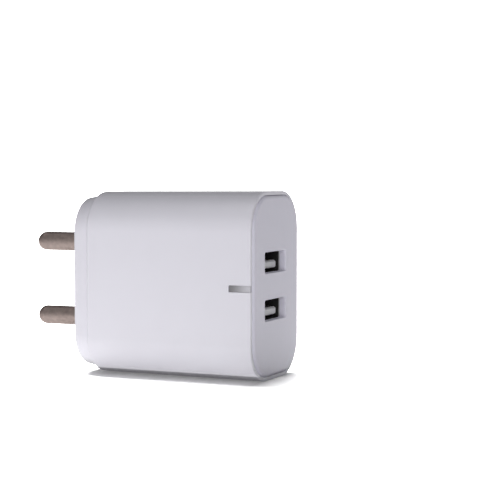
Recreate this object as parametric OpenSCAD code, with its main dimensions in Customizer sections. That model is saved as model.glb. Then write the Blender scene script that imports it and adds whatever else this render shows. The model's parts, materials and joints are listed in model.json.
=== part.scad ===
// Two-port USB wall charger with two round plug pins.
//
// Frame: the origin is the centre of the plug face, midway between the pins. The pins point along -X,
// the USB ports face +X, the broad face with the indicator slot faces -Y, and +Z is up. The charger
// stands on its lower narrow side.

/* [Body] */
// Height of the body at the port end, across its narrow sides
body_h_front = 45.3; // [45.3:0.1:47]
// Height of the body at the plug end
body_h_back = 44.7; // [44.7:0.1:45]
// Thickness of the body at the port end
body_t_front = 29.4; // [29.2:0.1:31]
// Thickness of the body at the plug end
body_t_back = 28.6; // [28.4:0.1:29]
// Length from the plug face to the rim round the port plate
body_end = 48.4; // [48.4:0.2:50]
// Radius of the four long corners of the body
corner_r = 9.4; // [9:0.1:9.8]
// Wall of the body shell
wall = 2; // [1.8:0.1:2.1]
// Small radius on the plug-end edge of the shell
shell_edge_r = 0.8; // [0.4:0.1:1]

/* [Plug cap] */
// How far the cap stands out of the shell
cap_rise = 4.3; // [4:0.1:4.6]
// Step from the shell's side in to the cap's side, where they meet
cap_inset = 0.9; // [0.8:0.1:1]
// How much the cap's side draws in towards the plug face
cap_draft = 0.65; // [0.4:0.05:0.8]
// Thickness of the plug face
cap_face = 2.4; // [2:0.1:2.6]
// Radius on the edge of the plug face
cap_edge_r = 0.7; // [0.5:0.1:1]
// How far the cap's skirt reaches into the shell
cap_skirt = 4.5; // [4:0.1:4.8]
// Diameter of the shallow round mark between the pins
mark_d = 7; // [5:0.5:8]

/* [Pins] */
// Diameter of a plug pin
pin_d = 4.8; // [4:0.1:5.1]
// Length of a plug pin from the plug face to its tip
pin_len = 17.4; // [16:0.2:19]
// Distance between the pins' centres
pin_pitch = 19; // [19:0.1:19.1]

/* [Port plate] */
// Rim of the shell left showing round the port plate
rim = 0.95; // [0.8:0.05:1]
// Gap between the port plate and the rim
plate_gap = 0.1; // [0.05:0.01:0.15]
// How deep the port plate sits behind the rim
plate_seat = 2.2; // [2:0.1:2.4]
// How far the plate's face stands in front of the rim
plate_proud = 0.45; // [0.3:0.05:0.6]
// Radius on the edge of the plate's face
plate_edge_r = 0.8; // [0.5:0.05:0.8]
// Distance between the two ports' centres
port_pitch = 11.4; // [11.4:0.1:11.6]
// Distance that the ports sit off the middle of the plate, towards the indicator's side
port_offset = 0.7; // [0.5:0.1:0.9]
// Width of a port's window in the plate
window_w = 12.9; // [12.7:0.1:13]
// Height of a port's window in the plate
window_h = 4.9; // [4.8:0.05:5]
// Radius of a window's corners
window_r = 0.75; // [0.3:0.05:0.8]

/* [Indicator] */
// Length of the indicator slot along the body
slot_len = 5.7; // [5:0.1:6.4]
// Height of the indicator slot
slot_h = 1.6; // [1.4:0.1:1.8]

/* [Circuit board] */
// Thickness of the circuit board
board_t = 1.6; // [1.2:0.1:1.6]
// Width of the circuit board
board_w = 37.8; // [37:0.2:37.8]

/* [Hidden] */
$fn = 64;
thin = 0.01;     // thickness of a slice inside a hull
past = 1;        // how far a cutting shape runs past what it cuts
fit = 0.1;       // clearance between moulded parts

// Body and port plate
shell_back = cap_rise;
plate_back = body_end - plate_seat;
plate_front = body_end + plate_proud;
plate_t = body_t_front - 2 * rim - 2 * plate_gap;
plate_h = body_h_front - 2 * rim - 2 * plate_gap;
plate_r = corner_r - rim - plate_gap;
slot_back = body_end - slot_len;
rail_t = 0.9;
rail_from = cap_rise + 5;
rail_top = 17.9; // how far from the middle the rails' free edges are
rail_roots = [21.1, 20.5];

// Plug cap
cap_t = body_t_back - 2 * cap_inset;
cap_h = body_h_back - 2 * cap_inset;
cap_r = corner_r - cap_inset;
skirt_t = body_t_back - 2 * wall - 2 * fit;
skirt_h = body_h_back - 2 * wall - 2 * fit;
skirt_r = corner_r - wall - fit;
skirt_wall = 1.2;
boss_r = 4.4;
boss_end = 8.4;

// Pins, inside the cap
neck_r = pin_d / 2 - 0.4;
flange_r = 3.2;
flange_from = 5;
flange_to = 6;
tail_r = 1.8;
tail_end = 9.4;

// Circuit board: its component side faces -Y
port_y = -port_offset;
board_y = port_y + 7;
board_from = 9.7;
board_to = 45.8;
board_back = board_y + board_t;
lead_r = 0.3;
lead_out = 1.6;  // how far a lead stands out of the solder side

// USB ports
port_w = 13.1;
port_h = 5.7;
port_r = 1;
port_sheet = 0.3;
port_mouth = plate_front - 1.6;
port_back = port_mouth - 12.5;
tongue_tip = port_mouth - 0.65;
tongue_drop = 0.8;
tongue_t = 1.84;
tongue_w = 11.1;
port_z = port_pitch / 2;
contact_y = [3.5, 1, -1, -3.5];
// Where each contact's tail meets the board: behind the port's back, and up or down from its middle
contact_tail = [[-0.6, 0.9], [-0.6, -0.9], [-2.3, 0.9], [-2.3, -0.9]];
peg_x = [2.2, 9.4];

// Places on the board as [X, Z]
spring_z = pin_pitch / 2;
spring_x = 10.9;
led_at = [43.3, 0];
transformer_at = [25.3, 0];
input_caps_at = [[14.6, -13.9], [14.6, -4.9]];
output_caps_at = [[39, -13.6], [39, 13.6]];
supply_cap_at = [21.9, -15.2];
fuse_at = [16.2, 16.6];
varistor_at = [12.6, 4.4];
choke_at = [15.6, 10.9];
safety_cap_at = [27, 10.1];
opto_at = [28.6, -12.5];
diode_at = [28.5, 14.7];
controller_at = [20.6, -8.6];
bridge_at = [16.6, 5];
chip_resistors_at = [[17, -15.4], [19, -15.4], [28, -16.6], [30, -16.6], [34.6, -10.4], [25.4, -8.4],
    [27.4, -8.4], [36.6, 0], [38.4, 0], [26.2, 6.2], [28.2, 6.2]];
chip_capacitors_at = [[36.6, 11.6], [17.6, -12.4], [29.4, -7.6], [32.6, 12.4], [23.6, 0], [27.2, 0]];

// Sizes of the capacitors as [diameter, height, lead pitch]
input_cap = [8, 14.5, 3.5];
output_cap = [8, 11.5, 3.5];
supply_cap = [5, 10, 2];

// Lead spacings of the other parts
led_pitch = 2.54;
transformer_pin_x = 5.3;
transformer_pin_z = [-4.5, -1.5, 1.5, 4.5];
fuse_span = 11;
varistor_pitch = 5;
choke_pitch = 5;
safety_pitch = 7.5;
opto_span = 7.62;
opto_pitch = 2.54;
diode_span = 11.4;

function pair_z(at, pitch) = [for (s = [-1, 1]) [at[0], at[1] + s * pitch / 2]];
function pair_x(at, pitch) = [for (s = [-1, 1]) [at[0] + s * pitch / 2, at[1]]];
function port_tails(z0) = [for (t = contact_tail) [port_back + t[0], z0 + t[1]]];
transformer_leads = [for (sx = [-1, 1], z = transformer_pin_z)
    [transformer_at[0] + sx * transformer_pin_x, transformer_at[1] + z]];
opto_leads = [for (sx = [-1, 1], sz = [-1, 1])
    [opto_at[0] + sx * opto_span / 2, opto_at[1] + sz * opto_pitch / 2]];
round_leads = concat(
    [for (c = input_caps_at) each pair_z(c, input_cap[2])],
    [for (c = output_caps_at) each pair_z(c, output_cap[2])],
    pair_z(supply_cap_at, supply_cap[2]), pair_x(led_at, led_pitch), pair_x(fuse_at, fuse_span),
    pair_z(varistor_at, varistor_pitch), pair_x(choke_at, choke_pitch),
    pair_x(safety_cap_at, safety_pitch), pair_x(diode_at, diode_span), transformer_leads,
    opto_leads, port_tails(port_z), port_tails(-port_z));
peg_places = [for (x = peg_x, z0 = [-port_z, port_z], s = [-1, 1])
    [port_back + x, z0 + s * (port_h - port_sheet) / 2]];

// Thickness and height of the body at x: it tapers towards the plug
function between(back, front, x) = back + (front - back) * (x - shell_back) / (body_end - shell_back);
function body_t(x) = between(body_t_back, body_t_front, x);
function body_h(x) = between(body_h_back, body_h_front, x);
function unit(v) = v / norm(v);
// A point beside point i of a path, for a strip of constant thickness
function beside(path, i, away) = let(
    before = unit(i > 0 ? path[i] - path[i - 1] : path[1] - path[0]),
    after = i < len(path) - 1 ? unit(path[i + 1] - path[i]) : before,
    middle = unit(before + after))
    path[i] + away * [-middle[1], middle[0]] / (before * middle);
// Points of an arc about a centre
function arc(centre, r, from, to, steps = 8) = [for (i = [0:steps])
    let(a = from + (to - from) * i / steps) centre + r * [cos(a), sin(a)]];

// A sheet-metal strip drawn along a path
module strip(path, t) polygon(concat(
    [for (i = [0:len(path) - 1]) beside(path, i, t / 2)],
    [for (i = [len(path) - 1:-1:0]) beside(path, i, -t / 2)]));
// A rounded rectangle, w along Y or X and h along Z
module rounded(w, h, r) {
    square([w - 2 * r, h], center = true);
    square([w, h - 2 * r], center = true);
    for (i = [-1, 1], j = [-1, 1]) translate([i * (w / 2 - r), j * (h / 2 - r)]) circle(r);
}
// A profile drawn as (Y, Z), extruded along +X
module on_x(x, len) translate([x, 0, 0]) rotate([90, 0, 90]) linear_extrude(len) children();
// A profile drawn as (X, Z), extruded along +Y
module on_y(y, len) translate([0, y + len, 0]) rotate([90, 0, 0]) linear_extrude(len) children();
// A thin slice of a rounded body, for a hull
module slice(x, w, h, r) on_x(x, thin) rounded(w, h, r);
// Local +Z points away from the board, local X along X and local Y along Z
module stand(at) translate([at[0], board_y, at[1]]) rotate([90, 0, 0]) children();
// The same on the solder side: local +Z points along +Y
module under(at) translate([at[0], board_back, at[1]]) rotate([-90, 0, 0]) children();
// A straight round lead through the board, in a stand's frame
module lead(x, y, top, r = lead_r) translate([x, y, -board_t - lead_out])
    cylinder(h = top + board_t + lead_out, r = r);
// A round lead that leaves a part along local X at height z and turns down through the board
module bent_lead(side, start, span, z, r = lead_r) {
    bend = 0.8;
    mirror([side < 0 ? 1 : 0, 0, 0]) {
        translate([start, 0, z]) rotate([0, 90, 0]) cylinder(h = span - bend - start, r = r);
        translate([span - bend, 0, z - bend]) rotate([90, 0, 0])
            rotate_extrude(angle = 90) translate([bend, 0]) circle(r);
        lead(span, 0, z - bend, r);
    }
}

// ---------------------------------------------------------------- outer casing

module shell_form() hull() {
    for (a = [0:30:90]) let(
        in = shell_edge_r * (1 - sin(a)),
        x = shell_back + shell_edge_r * (1 - cos(a)))
        slice(x, body_t(x) - 2 * in, body_h(x) - 2 * in, corner_r - in);
    for (a = [0:45:90]) let(
        r = 0.2,
        in = r * (1 - sin(a)),
        x = body_end - r * (1 - cos(a)) - thin)
        slice(x, body_t(x) - 2 * in, body_h(x) - 2 * in, corner_r - in);
}

module shell_cavity() hull() for (x = [shell_back - past, plate_back])
    slice(x, body_t(x) - 2 * wall, body_h(x) - 2 * wall, corner_r - wall);

// Two rails on each narrow side that the board slides between
module board_rails() for (s = [0, 1], i = [0, 1])
    mirror([0, 0, s]) translate([rail_from, i == 0 ? board_y - fit - rail_t : board_back + fit, rail_top])
        cube([plate_back - 0.9 - rail_from, rail_t, rail_roots[i] - rail_top]);

module body_shell() color([0.87, 0.87, 0.9]) {
    difference() {
        shell_form();
        shell_cavity();
        on_x(plate_back, plate_seat + past)
            rounded(body_t_front - 2 * rim, body_h_front - 2 * rim, corner_r - rim);
        translate([slot_back, -body_t_front / 2 - past, -slot_h / 2])
            cube([slot_len + past, wall + 2 * past, slot_h]);
    }
    board_rails();
}

module plate_form() hull() {
    slice(plate_back, plate_t, plate_h, plate_r);
    for (a = [0:30:90]) let(in = plate_edge_r * (1 - cos(a)))
        slice(plate_front - plate_edge_r * (1 - sin(a)) - thin, plate_t - 2 * in, plate_h - 2 * in,
            plate_r - in);
}

module front_plate() color([0.8, 0.8, 0.84]) difference() {
    union() {
        plate_form();
        for (s = [-1, 1]) port_collar(s * port_z);
        for (s = [-1, 1]) plate_hook(s);
    }
    for (s = [-1, 1]) on_x(plate_back - past, plate_proud + plate_seat + 2 * past)
        translate([port_y, s * port_z]) rounded(window_w, window_h, window_r);
    for (s = [-1, 1]) on_x(plate_back - past, port_mouth + fit - plate_back + past)
        translate([port_y, s * port_z]) rounded(port_w + fit, port_h + fit, port_r + fit / 2);
}

// Three walls behind the plate that a port's mouth sits between, open towards the board
module port_collar(z) {
    collar_len = 1.7;
    collar_wall = 0.75;
    gap_h = port_h + 2 * fit;
    inner_y = port_y - port_w / 2 - fit;
    on_x(plate_back - collar_len, collar_len + 0.5) translate([inner_y - collar_wall, z]) difference() {
        translate([0, -gap_h / 2 - collar_wall]) square([port_w, gap_h + 2 * collar_wall]);
        translate([collar_wall, -gap_h / 2]) square([port_w, gap_h]);
    }
}

// A snap hook that holds the plate behind the shell's ledge
module plate_hook(side) {
    hook_w = 6;
    hook_z = body_h(plate_back) / 2 - wall - 0.2;
    mirror([0, 0, side < 0 ? 1 : 0]) translate([plate_back, hook_w / 2, 0]) rotate([90, 0, 0])
        linear_extrude(hook_w)
            polygon([[past, hook_z - 1.2], [past, hook_z], [-0.2, hook_z], [-2.6, hook_z - 0.1],
                [-3.4, hook_z - 0.7], [-3.4, hook_z - 1.2]]);
}

module pin_cap() color([0.85, 0.85, 0.89]) {
    difference() {
        union() {
            difference() {
                union() {
                    hull() {
                        for (a = [0:22.5:90])
                            let(in = cap_draft + cap_edge_r * (1 - sin(a)))
                            slice(cap_edge_r * (1 - cos(a)), cap_t - 2 * in, cap_h - 2 * in, cap_r - in);
                        slice(cap_rise - thin, cap_t, cap_h, cap_r);
                    }
                    on_x(cap_face, cap_rise + cap_skirt - cap_face) rounded(skirt_t, skirt_h, skirt_r);
                }
                on_x(cap_face, cap_rise + cap_skirt) rounded(skirt_t - 2 * skirt_wall,
                    skirt_h - 2 * skirt_wall, skirt_r - skirt_wall);
            }
            for (s = [-1, 1]) on_x(cap_face / 2, boss_end - cap_face / 2)
                translate([0, s * pin_pitch / 2]) circle(boss_r);
        }
        for (s = [-1, 1]) pin_seat(s * pin_pitch / 2);
        on_x(-past, past + 0.25) difference() {
            circle(d = mark_d);
            circle(d = mark_d - 1.6);
        }
    }
}

// The space that an insert-moulded pin takes in its boss
module pin_seat(z) {
    on_x(-past, past + flange_from) translate([0, z]) circle(neck_r);
    on_x(flange_from, flange_to - flange_from) translate([0, z]) circle(flange_r);
    on_x(flange_to, boss_end) translate([0, z]) circle(tail_r);
}

// ---------------------------------------------------------------- plug pins and their contacts

module plug_pin(z) color([0.62, 0.58, 0.55]) translate([-pin_len, 0, z]) rotate([0, 90, 0]) {
    r = pin_d / 2;
    rotate_extrude() polygon(concat([[0, 0]], [for (i = [1:12]) let(a = 90 * i / 12)
            [r * sin(a), r * (1 - cos(a))]],
        [[r, pin_len], [neck_r, pin_len], [neck_r, pin_len + flange_from],
        [flange_r, pin_len + flange_from], [flange_r, pin_len + flange_to],
        [tail_r, pin_len + flange_to], [tail_r, pin_len + tail_end - 0.3],
        [tail_r - 0.3, pin_len + tail_end], [0, pin_len + tail_end]]));
}

// A sprung strip that presses on the tail of a pin and is soldered to the board
module contact_spring(z) color([0.8, 0.6, 0.35]) translate([0, 0, z - 1.5]) linear_extrude(3)
    strip([[spring_x, board_back + 1], [spring_x, 4.6], [tail_end + 0.18, 0.7],
        [tail_end + 0.18, -0.7], [spring_x - 0.1, -3]], 0.3);

// ---------------------------------------------------------------- indicator

module light_pipe() color([0.6, 0.6, 0.63]) {
    inset = 0.12;
    lens_y = function (x) -body_t(x) / 2 + inset;
    wall_y = -body_t(slot_back) / 2 + wall;
    x0 = slot_back + 0.05;
    x1 = body_end - 0.15;
    translate([0, 0, -slot_h / 2 + 0.04]) linear_extrude(slot_h - 0.08)
        polygon([[x0, lens_y(x0)], [x1, lens_y(x1)], [x1, -body_t_front / 2 + rim - 0.05],
            [plate_back - 0.1, -body_t_front / 2 + rim - 0.05], [plate_back - 0.1, wall_y + 0.5],
            [x0, wall_y + 0.5]]);
    translate([slot_back - 2, wall_y + 0.08, -2]) cube([plate_back - slot_back + 1.9, 1.1, 4]);
    translate([led_at[0], led_tip - 0.3, led_at[1]]) rotate([90, 0, 0])
        cylinder(h = led_tip - 0.3 - wall_y - 0.6, r = 1.5);
}

led_foot = 7;    // height of the lamp's foot above the board
led_h = 5.3;
led_tip = board_y - led_foot - led_h;
module status_led() color([0.9, 0.95, 0.92]) stand(led_at) translate([0, 0, led_foot])
    rotate_extrude() polygon(concat([[0, 0], [1.9, 0], [1.9, 1], [1.5, 1]],
        arc([0, led_h - 1.5], 1.5, 0, 90, 10)));

module status_led_legs() color([0.75, 0.75, 0.77]) stand(led_at)
    for (s = [-1, 1]) lead(s * led_pitch / 2, 0, led_foot);

// ---------------------------------------------------------------- circuit board

module main_board() color([0.72, 0.6, 0.32]) difference() {
    translate([board_from, board_y, -board_w / 2])
        cube([board_to - board_from, board_t, board_w]);
    on_y(board_y - past, board_t + 2 * past) {
        for (p = round_leads) translate(p) circle(0.5, $fn = 24);
        for (s = [-1, 1]) translate([spring_x, s * spring_z]) square([0.5, 3.3], center = true);
        for (p = peg_places) translate(p) square([1.5, 0.6], center = true);
        translate(transformer_at) rounded(1.2, 14, 0.59);
    }
}

module solder_joints() color([0.78, 0.78, 0.8]) {
    for (p = round_leads) under(p) difference() {
        cylinder(h = 0.9, r1 = 0.8, r2 = 0.42, $fn = 24);
        translate([0, 0, -past]) cylinder(h = 2 + past, r = lead_r + 0.06, $fn = 24);
    }
    for (s = [-1, 1]) under([spring_x, s * spring_z]) difference() {
        translate([0, 0, 0.3]) cube([1.6, 4, 0.6], center = true);
        cube([0.34, 3.04, 4], center = true);
    }
}

// ---------------------------------------------------------------- USB ports

module port_shell(z0) color([0.72, 0.73, 0.75]) translate([0, port_y, z0]) {
    length = port_mouth - port_back;
    difference() {
        on_x(port_back, length) difference() {
            rounded(port_w, port_h, port_r);
            rounded(port_w - 2 * port_sheet, port_h - 2 * port_sheet, port_r - port_sheet);
        }
        for (y = [-3, 3]) translate([port_mouth - 7.6, y - 1.1, -port_h])
            cube([6, 2.2, 2 * port_h]);
    }
    for (s = [-1, 1], y = [-3, 3]) retention_tab(s, y);
    for (x = peg_x, s = [-1, 1])
        translate([port_back + x - 0.6, port_w / 2 - 0.8, s * (port_h - port_sheet) / 2 - port_sheet / 2])
            cube([1.2, board_back - port_y + 1 - port_w / 2 + 0.8, port_sheet]);
}

// A tab cut from the port's sheet that leans in and grips a plug
module retention_tab(side, y) mirror([0, 0, side < 0 ? 1 : 0])
    translate([port_mouth - 1.7, y - 0.7, 0]) rotate([90, 0, 0]) translate([0, 0, -1.4])
        linear_extrude(1.4) strip([[0.3, (port_h - port_sheet) / 2],
            [-0.4, (port_h - port_sheet) / 2], [-3.6, (port_h - port_sheet) / 2 - 0.35],
            [-4.8, (port_h - port_sheet) / 2 - 0.1]], port_sheet - 0.02);

module port_contacts(z0) color([0.85, 0.7, 0.35]) translate([0, port_y, z0]) for (i = [0:3]) {
    y = contact_y[i];
    tail = contact_tail[i];
    front = tongue_tip - (i == 0 || i == 3 ? 0.9 : 1.7);
    top = tongue_t / 2 - tongue_drop;
    translate([port_back + tail[0] - 0.25, y - 0.55, top - 0.13])
        cube([front - port_back - tail[0] + 0.25, 1.1, 0.26]);
    translate([port_back + tail[0] - 0.25, y - 0.25, min(top - 0.13, tail[1] - 0.25)])
        cube([0.5, 0.5, abs(tail[1] - top) + 0.38]);
    translate([port_back + tail[0] - 0.25, y - 0.25, tail[1] - 0.25])
        cube([0.5, board_back - port_y + lead_out - y + 0.25, 0.5]);
}

module port_insulator(z0) color([0.9, 0.9, 0.9]) difference() {
    translate([0, port_y, z0]) union() {
        on_x(port_back - 0.3, 4) rounded(port_w - 2 * port_sheet - fit, port_h - 2 * port_sheet - fit,
            port_r - port_sheet);
        translate([0, 0, -tongue_drop]) rotate([90, 0, 0]) translate([0, 0, -tongue_w / 2])
            linear_extrude(tongue_w) polygon([[port_back, -tongue_t / 2], [port_back, tongue_t / 2],
                [tongue_tip - 0.4, tongue_t / 2], [tongue_tip, tongue_t / 2 - 0.4],
                [tongue_tip, -tongue_t / 2 + 0.3], [tongue_tip - 0.3, -tongue_t / 2]]);
    }
    port_contacts(z0);
}

// ---------------------------------------------------------------- transformer

core_x = 4.8;
core_z = 16;
core_leg = 2;
core_middle = 4;
core_bar = 2;
core_top = 15.2;         // height of the core's top above the board
core_bottom = 0.4;
window_top = core_top - core_bar;
window_bottom = core_bottom + core_bar;
flange_t = 0.8;

module core_half(from, to, window_from, window_to) difference() {
    translate([-core_x / 2, -core_z / 2, from]) cube([core_x, core_z, to - from]);
    for (s = [-1, 1]) translate([-core_x, s * (core_middle + core_z - 2 * core_leg) / 4
            - (core_z / 2 - core_leg - core_middle / 2) / 2, window_from])
        cube([2 * core_x, core_z / 2 - core_leg - core_middle / 2, window_to - window_from]);
}

module transformer_core() color([0.25, 0.25, 0.27]) stand(transformer_at) {
    split = (core_top + core_bottom) / 2;
    core_half(core_bottom, split - 0.02, window_bottom, core_top + past);
    core_half(split + 0.02, core_top, core_bottom - past, window_top);
}

module transformer_bobbin() color([0.15, 0.15, 0.16]) stand(transformer_at) difference() {
    union() {
        for (z = [window_bottom + 0.05, window_top - flange_t - 0.05])
            translate([0, 0, z]) linear_extrude(flange_t) rounded(12.6, 11.4, 1);
        translate([0, 0, window_bottom + 0.05])
            linear_extrude(window_top - window_bottom - 0.1) square([6.6, 5.8], center = true);
        for (s = [-1, 1]) translate([s * transformer_pin_x - 1, -6, 0.2])
            cube([2, 12, window_bottom + flange_t / 2]);
    }
    translate([0, 0, core_top / 2]) cube([core_x + 0.2, core_middle + 0.2, 2 * core_top], center = true);
    for (s = [-1, 1], z = transformer_pin_z) translate([s * transformer_pin_x, z, -past])
        cylinder(h = past + 2.2, r = 0.35, $fn = 24);
}

module coil_ring(from, to, w, h, inner_w, inner_h, r) translate([0, 0, from])
    linear_extrude(to - from) difference() {
        rounded(w, h, r);
        square([inner_w, inner_h], center = true);
    }

module transformer_winding() color([0.72, 0.42, 0.2]) stand(transformer_at)
    coil_ring(window_bottom + flange_t + 0.1, window_top - flange_t - 0.1, 11.8, 10.6, 6.7, 5.9, 2.4);

module transformer_tape() color([0.93, 0.78, 0.2]) stand(transformer_at)
    translate([0, 0, window_bottom + flange_t + 0.2])
        linear_extrude(window_top - window_bottom - 2 * flange_t - 0.4) difference() {
            rounded(12.16, 10.96, 2.58);
            rounded(11.82, 10.62, 2.41);
        }

module transformer_pins() color([0.75, 0.75, 0.77]) stand(transformer_at)
    for (s = [-1, 1], z = transformer_pin_z) lead(s * transformer_pin_x, z, 2.2, 0.35);

// ---------------------------------------------------------------- capacitors

// Profiles are turned round local Z: the bung closes the foot, and the can has a crimp above it
module capacitor_can(size) {
    r = size[0] / 2 - 0.16;
    h = size[1];
    translate([0, 0, 0.4]) rotate_extrude() polygon([[0, 1.1], [r - 0.55, 1.1], [r - 0.55, 0],
        [r, 0], [r, 1.3], [r - 0.4, 1.7], [r, 2.1], [r, h - 0.5], [r - 0.35, h - 0.2], [0, h - 0.2]]);
}
module capacitor_sleeve(size) {
    r = size[0] / 2;
    h = size[1];
    translate([0, 0, 0.4]) rotate_extrude() polygon([[r - 0.9, -0.12], [r, -0.12], [r, h - 0.4],
        [r - 0.35, h], [r - 1.2, h], [r - 1.2, h - 0.15], [r - 0.45, h - 0.15], [r - 0.14, h - 0.46],
        [r - 0.14, -0.02], [r - 0.9, -0.02]]);
}
module capacitor_bung(size) translate([0, 0, 0.4]) difference() {
    cylinder(h = 1.08, r = size[0] / 2 - 0.73);
    for (s = [-1, 1]) translate([0, s * size[2] / 2, -past]) cylinder(h = 2 * past + 1.2, r = lead_r);
}
module capacitor_legs(size) for (s = [-1, 1]) lead(0, s * size[2] / 2, 1.46);

module input_capacitor_cans() color([0.8, 0.8, 0.82])
    for (c = input_caps_at) stand(c) capacitor_can(input_cap);
module input_capacitor_sleeves() color([0.12, 0.12, 0.14])
    for (c = input_caps_at) stand(c) capacitor_sleeve(input_cap);
module input_capacitor_bungs() color([0.1, 0.1, 0.1])
    for (c = input_caps_at) stand(c) capacitor_bung(input_cap);
module input_capacitor_legs() color([0.75, 0.75, 0.77])
    for (c = input_caps_at) stand(c) capacitor_legs(input_cap);
module output_capacitor_cans() color([0.8, 0.8, 0.82])
    for (c = output_caps_at) stand(c) capacitor_can(output_cap);
module output_capacitor_sleeves() color([0.1, 0.25, 0.2])
    for (c = output_caps_at) stand(c) capacitor_sleeve(output_cap);
module output_capacitor_bungs() color([0.1, 0.1, 0.1])
    for (c = output_caps_at) stand(c) capacitor_bung(output_cap);
module output_capacitor_legs() color([0.75, 0.75, 0.77])
    for (c = output_caps_at) stand(c) capacitor_legs(output_cap);
module supply_capacitor_can() color([0.8, 0.8, 0.82]) stand(supply_cap_at) capacitor_can(supply_cap);
module supply_capacitor_sleeve() color([0.1, 0.15, 0.35]) stand(supply_cap_at) capacitor_sleeve(supply_cap);
module supply_capacitor_bung() color([0.1, 0.1, 0.1]) stand(supply_cap_at) capacitor_bung(supply_cap);
module supply_capacitor_legs() color([0.75, 0.75, 0.77]) stand(supply_cap_at) capacitor_legs(supply_cap);

// ---------------------------------------------------------------- mains input parts

fuse_z = 2.2;
module fuse_resistor() color([0.3, 0.5, 0.35]) stand(fuse_at) translate([0, 0, fuse_z])
    rotate([0, 90, 0]) rotate_extrude() polygon([[0, -4.5], [1.3, -4.5], [1.7, -4.1], [1.7, -2.9],
        [1.5, -2.5], [1.5, 2.5], [1.7, 2.9], [1.7, 4.1], [1.3, 4.5], [0, 4.5]]);
module fuse_resistor_leads() color([0.75, 0.75, 0.77]) stand(fuse_at)
    for (s = [-1, 1]) bent_lead(s, 4.5, fuse_span / 2, fuse_z);

// A dipped disc with a rounded rim, standing on edge
module dipped_disc(d, t, z) translate([0, 0, z]) rotate([90, 0, 0]) rotate_extrude()
    polygon(concat([[0, -t / 2]], arc([d / 2 - t * 0.35, -t * 0.15], t * 0.35, -90, 0, 6),
        arc([d / 2 - t * 0.35, t * 0.15], t * 0.35, 0, 90, 6), [[0, t / 2]]));
// Height at which the inner side of a straight lead meets the rim of a disc
function disc_foot(d, z, pitch) = z - sqrt(pow(d / 2, 2) - pow(pitch / 2 - lead_r, 2)) - 0.02;
varistor_d = 7;
varistor_z = 4.9;        // height of the disc's middle above the board
module varistor() color([0.15, 0.3, 0.6]) stand(varistor_at) rotate([0, 0, 90])
    dipped_disc(varistor_d, 3.4, varistor_z);
module varistor_leads() color([0.75, 0.75, 0.77]) stand(varistor_at)
    for (s = [-1, 1]) lead(0, s * varistor_pitch / 2, disc_foot(varistor_d, varistor_z, varistor_pitch));

module filter_choke_core() color([0.22, 0.22, 0.24]) stand(choke_at) translate([0, 0, 0.5])
    rotate_extrude() polygon([[0, 0], [3.2, 0], [3.2, 1.2], [1.5, 1.2], [1.5, 7], [3.2, 7],
        [3.2, 8.2], [0, 8.2]]);
module filter_choke_coil() color([0.75, 0.4, 0.18]) stand(choke_at) translate([0, 0, 1.72])
    rotate_extrude() {
        turns = 10;
        pitch = 0.575;
        polygon(concat([[1.52, 5.75], [1.52, 0]], [for (k = [0:turns - 1])
            each arc([2.65, (k + 0.5) * pitch], pitch / 2 - 0.002, -90, 90, 4)]));
    }
module filter_choke_leads() color([0.75, 0.4, 0.18]) stand(choke_at)
    for (s = [-1, 1]) lead(s * choke_pitch / 2, 0, 0.48);

module bridge_rectifier() color([0.1, 0.1, 0.11]) under(bridge_at) translate([0, 0, 0.1])
    hull() {
        translate([-2.2, -2.5, 0.5]) cube([4.4, 5, 0.3]);
        translate([-2, -2.3, 0]) cube([4, 4.6, 1.4]);
    }
module bridge_rectifier_leads() color([0.75, 0.75, 0.77]) under(bridge_at)
    for (s = [-1, 1], t = [-1, 1]) mirror([s < 0 ? 1 : 0, 0, 0])
        gull_lead(2.21, 3.1, 0.75, t * 2, 0.7, 0.2);

// A flat lead that leaves a body sideways, drops and lies on the board, in an under frame
module gull_lead(from, to, z, y, w, t) translate([0, y + w / 2, 0]) rotate([90, 0, 0])
    linear_extrude(w) strip([[from, z], [from + (to - from) * 0.35, z],
        [from + (to - from) * 0.5, t / 2 + 0.02], [to, t / 2 + 0.02]], t);

// ---------------------------------------------------------------- control parts

module switching_controller() color([0.1, 0.1, 0.11]) under(controller_at) translate([0, 0, 0.1])
    hull() {
        translate([-1.95, -2.45, 0.6]) cube([3.9, 4.9, 0.2]);
        translate([-1.8, -2.3, 0]) cube([3.6, 4.6, 1.45]);
    }
module switching_controller_leads() color([0.75, 0.75, 0.77]) under(controller_at)
    for (s = [-1, 1], k = [0:3]) mirror([s < 0 ? 1 : 0, 0, 0])
        gull_lead(1.96, 3, 0.8, (k - 1.5) * 1.27, 0.42, 0.2);

module optocoupler() color([0.12, 0.12, 0.13]) stand(opto_at) translate([0, 0, 0.4]) hull() {
    translate([-3.25, -2.3, 1.4]) cube([6.5, 4.6, 0.4]);
    translate([-3, -2.1, 0]) cube([6, 4.2, 3.3]);
}
module optocoupler_leads() color([0.75, 0.75, 0.77]) stand(opto_at) for (s = [-1, 1], t = [-1, 1])
    mirror([s < 0 ? 1 : 0, 0, 0]) translate([0, t * opto_pitch / 2 + 0.25, 0]) rotate([90, 0, 0])
        linear_extrude(0.5)
            strip([[3.26, 2], [opto_span / 2, 2], [opto_span / 2, -board_t - lead_out]], 0.25);

module safety_capacitor() color([0.2, 0.4, 0.75]) stand(safety_cap_at) dipped_disc(7.6, 3.4, 5.2);
module safety_capacitor_leads() color([0.75, 0.75, 0.77]) stand(safety_cap_at)
    for (s = [-1, 1]) safety_lead(s);
// The lead bends outwards under the disc to reach its wider hole
module safety_lead(side) mirror([side < 0 ? 1 : 0, 0, 0]) {
    foot = safety_pitch / 2;
    t = 0.5;
    rotate([90, 0, 0]) translate([0, 0, -t / 2]) linear_extrude(t)
        strip([[1.5, 1.46], [foot, 0.8], [foot, -board_t - lead_out]], t);
}

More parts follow.
